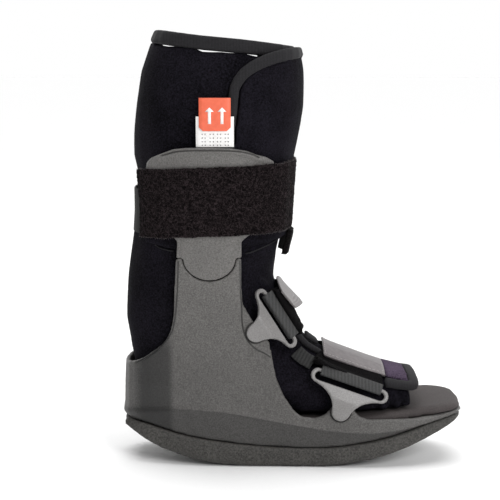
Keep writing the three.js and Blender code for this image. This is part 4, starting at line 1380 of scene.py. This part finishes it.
@dataclass
class FootStraps:
    """The two buckled straps over the foot, their tabs, the keeper and the buckles.

    Attributes:
        voxel: Size of a strap's faces.
        buckle_voxel: Size of a buckle's faces.
        tab_voxel: Size of a tab's faces.
        wall: Thickness of a buckle's plate.
        bend: Distance of the plate's bend from its foot.
        bar_rise: Half thickness of the turned webbing.
        squareness: Power that squares off the turned webbing's rounded section.
        tape: Thickness of the webbing.
        block: Length past the bar, depth and height of the block that cuts a strap off.
        block_shift: Distance of the block's middle behind the turned webbing's outer edge.
        keeper_run: The direction in which the keeper is drawn out.
        keeper_added: Length that it is drawn out by.
        keeper_lift: How far its drawn end comes nearer.
        instep_end: Place along the boot where the upper strap is cut off.
        grid: Number of faces along and across the upper tab before its remesh.
        cover_edge: The upper tab's near edge, as two points of the near side.
        crown: Its crown over the instep, as two points of the near side.
        crown_shift: How far the crown is moved, in millimetres.
        plate: Thickness of the upper tab.
        clear: How far its edges stand off the strap.
        rib_heights: Heights from and up to which it has ribs, in millimetres.
        rib_step: Distance between its ribs, in millimetres.
        rib_span: Places across the boot that its ribs join, in millimetres.
        rib_depth: Depth of the channel between two ribs.
        rib_width: Half width of that channel.
        cover_heel: Place along the boot where the lower tab is cut off.
        overhang: How far the lower tab's near edge hangs over, in millimetres.
        overhang_start: Place across the boot from where it hangs over.
        overhang_run: Distance over which it does.
        seams: The lower tab's rows of stitches in millimetres, as seen from above.
    """

    voxel: float = 1.05 * MM
    buckle_voxel: float = 0.8 * MM
    tab_voxel: float = 0.8 * MM
    wall: float = 3 * MM
    bend: float = 9 * MM
    bar_rise: float = 3.0 * MM
    squareness: float = 0.55
    tape: float = 1.3 * MM
    block: tuple[float, float, float] = (8 * MM, 40 * MM, 34 * MM)
    block_shift: float = 21.5 * MM
    keeper_run: tuple[float, float, float] = (0.87, 0, -0.49)
    keeper_added: float = 6 * MM
    keeper_lift: float = 0.8 * MM
    instep_end: float = 8.0 * MM
    grid: int = 24
    cover_edge: Line = ((-15.8, 150.3), (6.6, 120.5))
    crown: Line = ((-13.7, 150.0), (8.5, 128.9))
    crown_shift: tuple[float, float, float] = (0.6, -2, 0.5)
    plate: float = 1.8 * MM
    clear: float = 2.2 * MM
    rib_heights: tuple[float, float] = (127.0, 139.0)
    rib_step: float = 2.0
    rib_span: tuple[float, float] = (-34, 17)
    rib_depth: float = 0.45 * MM
    rib_width: float = 0.6 * MM
    cover_heel: float = 25.5 * MM
    overhang: tuple[float, float, float] = (0, 9.6, 3.0)
    overhang_start: float = -12 * MM
    overhang_run: float = 9 * MM
    seams: tuple[tuple[str, Line], ...] = (
        ("near", ((26.6, -29.2), (40, -29.4), (58, -29.2), (75, -28.6))),
        ("heel", ((27, 17), (27, 0), (27, -28))),
        ("toe", ((74.6, -27), (75.6, 0), (75.6, 17))),
    )

    def build(self) -> None:
        """Builds and dresses the straps from the foot outwards."""
        for node_name, name, finish, cut_to in (
            ("instep_strap", "instep_webbing", HOOK_TAPE, (170 * MM, 43 * MM)),
            ("forefoot_strap", "forefoot_webbing", HOOK_TAPE, (118 * MM, 53 * MM)),
            ("keeper_strap", "keeper_webbing", KEEPER_WEBBING, (21 * MM, 13 * MM)),
        ):
            strap = copy_of(node_name, name)
            for bar in BARS:
                self.cut_turn(strap, bar)
            if node_name == "instep_strap":
                cut(strap, Vector((self.instep_end, 0, 0)), Vector((1, 0, 0)))
            if node_name == "keeper_strap":
                self.lengthen(strap)
            remesh(strap, self.voxel, rounds=3)
            dress(strap, finish, "webbing", node_name)
        for side in ("upper", "lower"):
            buckle = copy_of(f"buckle_{side}", f"{side}_buckle")
            remesh(buckle, self.buckle_voxel, rounds=3)
            dress(buckle, BUCKLE_NYLON, "buckle", f"buckle_{side}")
        for bar in BARS:
            self.turned_webbing(bar)
        self.ribbed_tab()
        self.stitched_tab()

    def lengthen(self, keeper: bpy.types.Object) -> None:
        """Draws the keeper's upper end out until it runs in under the lower strap."""
        points, along = points_of(keeper), np.array(self.keeper_run)
        place = points @ along
        share = np.clip((place - place.mean()) / (place.max() - place.mean()), 0, 1)
        points += share[:, None] * along * self.keeper_added
        points[:, 1] -= self.keeper_lift * share
        move_to(keeper, points)

    def cut_turn(self, strap: bpy.types.Object, bar: Bar) -> None:
        """Cuts a strap off just past a bar, where the turned webbing takes its place.

        Args:
            strap: The strap.
            bar: The bar.
        """
        bpy.ops.object.select_all(action="DESELECT")
        bpy.ops.mesh.primitive_cube_add(size=1)
        block = bpy.context.object
        spare, depth, height = self.block
        points = points_of(block) * (bar.length + spare, depth, height)
        points[:, 1] += bar.half - self.block_shift
        move_to(block, points)
        block.data.transform(bar.place(self.wall, self.bend))
        apply(strap, "BOOLEAN", operation="DIFFERENCE", object=block, solver="EXACT")
        bpy.data.objects.remove(block)

    def turned_webbing(self, bar: Bar) -> None:
        """The stretch of webbing that passes through a slot and turns round the bar.

        Args:
            bar: The bar.
        """
        bpy.ops.object.select_all(action="DESELECT")
        bpy.ops.mesh.primitive_cylinder_add(
            vertices=40, radius=1, depth=bar.length, end_fill_type="NOTHING",
            rotation=(0, math.pi / 2, 0),
        )
        turn = bpy.context.object
        turn.name = bar.node.replace("buckle", "turned_webbing")
        bpy.ops.object.transform_apply(location=False, rotation=True, scale=True)
        points = points_of(turn)
        flat = np.sign(points[:, 1:]) * np.abs(points[:, 1:]) ** self.squareness
        points[:, 1:] = flat * (bar.half, self.bar_rise)
        move_to(turn, points)
        apply(turn, "SOLIDIFY", thickness=self.tape, offset=-1)
        apply(turn, "BEVEL", width=0.3 * MM, segments=2, angle_limit=math.radians(60))
        turn.data.transform(bar.place(self.wall, self.bend))
        select_only(turn)
        bpy.ops.object.shade_smooth_by_angle(angle=math.radians(40))
        dress(turn, BAR_WEBBING)

    def ribbed_tab(self) -> None:
        """The moulded tab on the upper strap, a curved plate with ribs at its free end."""
        strap = bpy.data.objects["instep_webbing"]
        walk = drape(strap, self.cover_edge, Facing.NEAR, MM)
        rail = np.array([point + normal * self.clear for point, normal, _ in walk])
        steps = np.linspace(0, len(rail) - 1, self.grid + 1)
        near = np.stack([np.interp(steps, range(len(rail)), column) for column in rail.T], axis=1)
        share = np.linspace(0, 1, self.grid + 1)[:, None]
        right, out, up = self.crown_shift
        first, last = [np.array((x + right, out, z + up)) * MM for x, z in self.crown]
        crown = first + (last - first) * share
        far = near * (1, -1, 1)
        bpy.ops.object.select_all(action="DESELECT")
        bpy.ops.mesh.primitive_grid_add(
            x_subdivisions=self.grid, y_subdivisions=self.grid, size=2
        )
        tab = bpy.context.object
        tab.name = "instep_grip"
        flat = points_of(tab)
        row = np.rint((flat[:, 0] + 1) * self.grid / 2).astype(int)
        over = ((flat[:, 1] + 1) / 2)[:, None]
        middle = 2 * crown[row] - (near[row] + far[row]) / 2
        points = (1 - over) ** 2 * near[row] + 2 * over * (1 - over) * middle + over**2 * far[row]
        move_to(tab, points)
        bpy.ops.object.mode_set(mode="EDIT")
        bpy.ops.mesh.select_all(action="SELECT")
        bpy.ops.mesh.normals_make_consistent(inside=False)
        bpy.ops.object.mode_set(mode="OBJECT")
        apply(tab, "SOLIDIFY", thickness=self.plate, offset=0)
        remesh(tab, self.tab_voxel, rounds=3)
        for height in np.arange(*self.rib_heights, self.rib_step):
            line = [(place, height) for place in self.rib_span]
            press(tab, line, self.rib_depth, self.rib_width, Facing.FRONT)
        dress(tab, RIBBED_GRIP, "grip", "instep_tab")

    def stitched_tab(self) -> None:
        """The smooth tab on the lower strap, sewn along its edges with pale thread."""
        tab = copy_of("forefoot_tab", "forefoot_cover")
        cut(tab, Vector((self.cover_heel, 0, 0)), Vector((-1, 0, 0)))
        remesh(tab, self.tab_voxel, rounds=4)
        points = points_of(tab)
        over = np.clip((self.overhang_start - points[:, 1]) / self.overhang_run, 0, 1)
        move_to(tab, points - over[:, None] * np.array(self.overhang) * MM)
        dress(tab, GRIP_FACE, "grip", "forefoot_tab")
        for place, line in self.seams:
            stitch_row(f"forefoot_stitches_{place}", tab, line, Facing.TOP, PALE_THREAD)


@dataclass
class ToeFlap:
    """The padded flap over the toes and the bound edge round it.

    Attributes:
        voxel: Size of the faces.
        roll: How much thicker than its solid the rolled edging is.
        cap: The furthest that pressure may move a point.
        crease: The crease along the flap's near side, above its edging.
        held: Place along the boot up to which the strap holds the flap.
        free_run: Distance over which its free end begins.
        shorter: How far the free end is drawn in.
        flatter: Share of its drop from its top that the flap loses.
    """

    voxel: float = 1.2 * MM
    roll: float = 0.9 * MM
    cap: float = 0.6 * MM
    crease: Stroke = Stroke(((62, 73), (74, 71), (86, 66), (92, 62)), 2.0 * MM, 2.6 * MM)
    held: float = 62 * MM
    free_run: float = 30 * MM
    shorter: float = 4 * MM
    flatter: float = 0.16

    def build(self) -> None:
        """Builds and dresses the flap and its edging."""
        flap = copy_of("toe_flap", "toe_flap_cloth")
        self.gather(flap)
        remesh(flap, self.voxel, rounds=4)
        puff(flap, self.cap)
        self.crease.press(flap, Facing.NEAR)
        dress(flap, TOE_FLEECE, "fleece", "toe_flap")
        edging = copy_of("toe_binding", "toe_edging")
        self.gather(edging)
        remesh(edging, self.voxel, rounds=6)
        swell(edging, self.roll)
        dress(edging, EDGE_KNIT, "binding", "toe_binding")

    def gather(self, piece: bpy.types.Object) -> None:
        """Draws the flap's free end in and up, as its edging does when it is pulled tight."""
        points = points_of(piece)
        free = np.clip((points[:, 0] - self.held) / self.free_run, 0, 1)
        points[:, 0] -= self.shorter * free
        crown = points[:, 2].max()
        points[:, 2] += self.flatter * (crown - points[:, 2])
        move_to(piece, points)


@dataclass
class Tags:
    """The white tag and the orange pull tab, with plain marks for their print.

    Attributes:
        dot: Radius of a printed dot.
        ink: Thickness of the print.
        columns: Places of the dots across the white tag, in millimetres.
        rows: Heights of the rows of dots, in millimetres.
        arrows: Middles of the pull tab's arrows, in millimetres.
        arrow_width: Width of an arrow's head.
        arrow_height: Height of an arrow.
    """

    dot: float = 0.5 * MM
    ink: float = 0.12 * MM
    columns: tuple[float, ...] = (-72.7, -70.4, -66.5, -63.9, -60.7, -58.3, -54.6, -52.3)
    rows: tuple[float, ...] = (274.3, 271.3, 268.4, 265.6)
    arrows: Line = ((-67.0, 288.9), (-57.1, 288.9))
    arrow_width: float = 7.0 * MM
    arrow_height: float = 13.0 * MM

    def build(self) -> None:
        """Builds and dresses both tags and their print."""
        labels = []
        for node_name, name, finish, slot, cut_to in (
            ("sleeve_tag", "sleeve_label", WHITE_LABEL, "white", (30 * MM, 25 * MM)),
            ("pull_tab", "pull_label", ORANGE_LABEL, "orange", (25 * MM, 27 * MM)),
        ):
            label = copy_of(node_name, name)
            apply(label, "BEVEL", width=0.15 * MM, segments=2, angle_limit=math.radians(40))
            select_only(label)
            bpy.ops.object.shade_smooth_by_angle(angle=math.radians(35))
            labels.append(dress(label, finish, slot, node_name))
        spots = [(x, z) for z in self.rows for x in self.columns]
        self.print_on("label_dots", labels[0], self.dot_model(), spots, PRINT_GREY)
        self.print_on("pull_arrows", labels[1], self.arrow_model(), self.arrows, PRINT_WHITE)

    def dot_model(self) -> bpy.types.Object:
        """One printed dot, flat at the origin."""
        bpy.ops.object.select_all(action="DESELECT")
        bpy.ops.mesh.primitive_cylinder_add(vertices=10, radius=self.dot, depth=self.ink)
        return bpy.context.object

    def arrow_model(self) -> bpy.types.Object:
        """One plain arrow, flat at the origin and pointing along Y."""
        bpy.ops.object.select_all(action="DESELECT")
        bpy.ops.mesh.primitive_plane_add(size=1)
        arrow = bpy.context.object
        half, shaft = self.arrow_width / 2, self.arrow_width / 6
        neck = self.arrow_height / 2 - half
        foot = -self.arrow_height / 2
        corners = [(-shaft, foot), (shaft, foot), (-shaft, neck), (shaft, neck)]
        move_to(arrow, np.array([(x, y, 0.0) for x, y in corners]))
        bpy.ops.mesh.primitive_circle_add(vertices=3, radius=1, fill_type="NGON")
        head = bpy.context.object
        tip = [(0, self.arrow_height / 2, 0), (-half, neck, 0), (half, neck, 0)]
        move_to(head, np.array(tip, float))
        select_only(arrow, head)
        bpy.ops.object.join()
        apply(arrow, "SOLIDIFY", thickness=self.ink, offset=0)
        return arrow

    def print_on(
        self, name: str, label: bpy.types.Object, model: bpy.types.Object, spots: Line,
        finish: Finish,
    ) -> None:
        """Prints copies of a mark on a label's near face.

        Args:
            name: Name of the print.
            label: The label.
            model: One mark, flat at the origin.
            spots: Where the marks go, in millimetres.
            finish: The print's finish.
        """
        tree = BVHTree.FromObject(label, bpy.context.evaluated_depsgraph_get())
        places = []
        for spot in Facing.NEAR.spread(spots, OUTSIDE):
            point, normal, _, _ = tree.ray_cast(Vector(spot), -Facing.NEAR.axis)
            if point is not None:
                across = Vector((0, 0, 1)).cross(normal)
                places.append(basis(point + normal * self.ink, across, normal))
        dress(copies(name, model, places), finish)


@dataclass(frozen=True)
class SoftLight:
    """One soft square light.

    Attributes:
        name: Its name.
        place: Its place in metres.
        size: Length of its side in metres.
        power: Its power in watts.
    """

    name: str
    place: tuple[float, float, float]
    size: float
    power: float


@dataclass
class Studio:
    """The plain floor, the soft lights and the camera at the photograph's angle.

    Attributes:
        target: The point in the middle of the view, in metres.
        distance: Distance of the camera from it.
        elevation: Height of the camera above the horizon in degrees.
        lens: Focal length in millimetres.
        sensor: Width of the camera's sensor in millimetres.
        clip: Nearest and furthest distance that the camera sees, in metres.
        floor_size: Length of the floor's side in metres.
        lights: The soft lights that face the boot.
        ceiling_power: Power of the light from above in watts per square metre.
        ceiling_angle: Breadth of the light from above in degrees.
    """

    target: tuple[float, float, float] = (-0.0352, 0.0, 0.174)
    distance: float = 1.2
    elevation: float = 7.5
    lens: float = 102.86
    sensor: float = 36.0
    clip: tuple[float, float] = (0.05, 200.0)
    floor_size: float = 60.0
    lights: tuple[SoftLight, ...] = (
        SoftLight("key", (1.0, -1.85, 1.25), size=0.9, power=34.0),
        SoftLight("rim_rear", (-1.3, 1.5, 0.7), size=1.0, power=7.0),
        SoftLight("rim_front", (1.4, 1.4, 0.8), size=1.0, power=8.0),
    )
    ceiling_power: float = 2.15
    ceiling_angle: float = 50.0

    def build(self) -> None:
        """Builds the floor, the lights and the camera."""
        scene = bpy.context.scene
        scene.view_settings.view_transform = "Standard"
        bpy.ops.object.select_all(action="DESELECT")
        bpy.ops.mesh.primitive_plane_add(size=self.floor_size, location=(0, 0, 0))
        floor = bpy.context.object
        floor.name = "floor"
        floor.data.materials.append(
            SatinFace("floor_paper_white", "#f7f7f7", "#f5f5f5", roughness=0.9).material()
        )
        self.surround(scene)
        for lamp in self.lights:
            self.light(lamp)
        self.ceiling()
        self.camera()

    def surround(self, scene: bpy.types.Scene) -> None:
        """White surround, bright behind the boot and dimmer on the camera's side of it.

        Args:
            scene: The scene that gets it.
        """
        scene.world = bpy.data.worlds.new("studio_white")
        scene.world.use_nodes = True
        tree = scene.world.node_tree
        sky = tree.nodes["Background"]
        toward = add(tree, "ShaderNodeSeparateXYZ", {
            0: add(tree, "ShaderNodeTexCoord").outputs["Generated"],
        })
        glow = add(tree, "ShaderNodeMapRange", {
            "Value": toward.outputs["Y"], "From Min": -0.2, "From Max": 0.8,
            "To Min": 0.12, "To Max": 1.0,
        })
        seen = add(tree, "ShaderNodeMath", {
            0: glow.outputs["Result"], 1: add(tree, "ShaderNodeLightPath").outputs["Is Camera Ray"],
        }, operation="MAXIMUM")
        tree.links.new(seen.outputs["Value"], sky.inputs["Strength"])
        sky.inputs["Color"].default_value = (1, 1, 1, 1)

    def ceiling(self) -> None:
        """A broad soft light straight down, which keeps the floor evenly pale."""
        data = bpy.data.lights.new("ceiling", "SUN")
        data.energy, data.angle = self.ceiling_power, math.radians(self.ceiling_angle)
        obj = bpy.data.objects.new("ceiling", data)
        bpy.context.scene.collection.objects.link(obj)
        obj.location = (0, 0, 3)

    def light(self, lamp: SoftLight) -> None:
        """Adds one soft light that faces the boot."""
        data = bpy.data.lights.new(lamp.name, "AREA")
        data.size, data.energy = lamp.size, lamp.power
        obj = bpy.data.objects.new(lamp.name, data)
        bpy.context.scene.collection.objects.link(obj)
        obj.location = lamp.place
        toward = Vector(self.target) - Vector(lamp.place)
        obj.rotation_euler = toward.to_track_quat("-Z", "Y").to_euler()

    def camera(self) -> None:
        """Adds the camera, which looks along +Y and a little down."""
        rise = math.radians(self.elevation)
        data = bpy.data.cameras.new("camera")
        data.lens, data.sensor_width, data.sensor_fit = self.lens, self.sensor, "HORIZONTAL"
        data.clip_start, data.clip_end = self.clip
        obj = bpy.data.objects.new("camera", data)
        bpy.context.scene.collection.objects.link(obj)
        back = Vector((0, -math.cos(rise), math.sin(rise))) * self.distance
        obj.location = Vector(self.target) + back
        obj.rotation_euler = Euler((math.radians(90) - rise, 0, 0))
        bpy.context.scene.camera = obj


def main() -> None:
    """Builds the studio and every sub-assembly in order."""
    parts = (
        Studio(), Mouldings(), PaddedBoot(), CalfStraps(), FootStraps(), ToeFlap(), Tags(),
    )
    for part in parts:
        part.build()
        log.info("%s done", type(part).__name__)


if __name__ == "__main__":
    main()
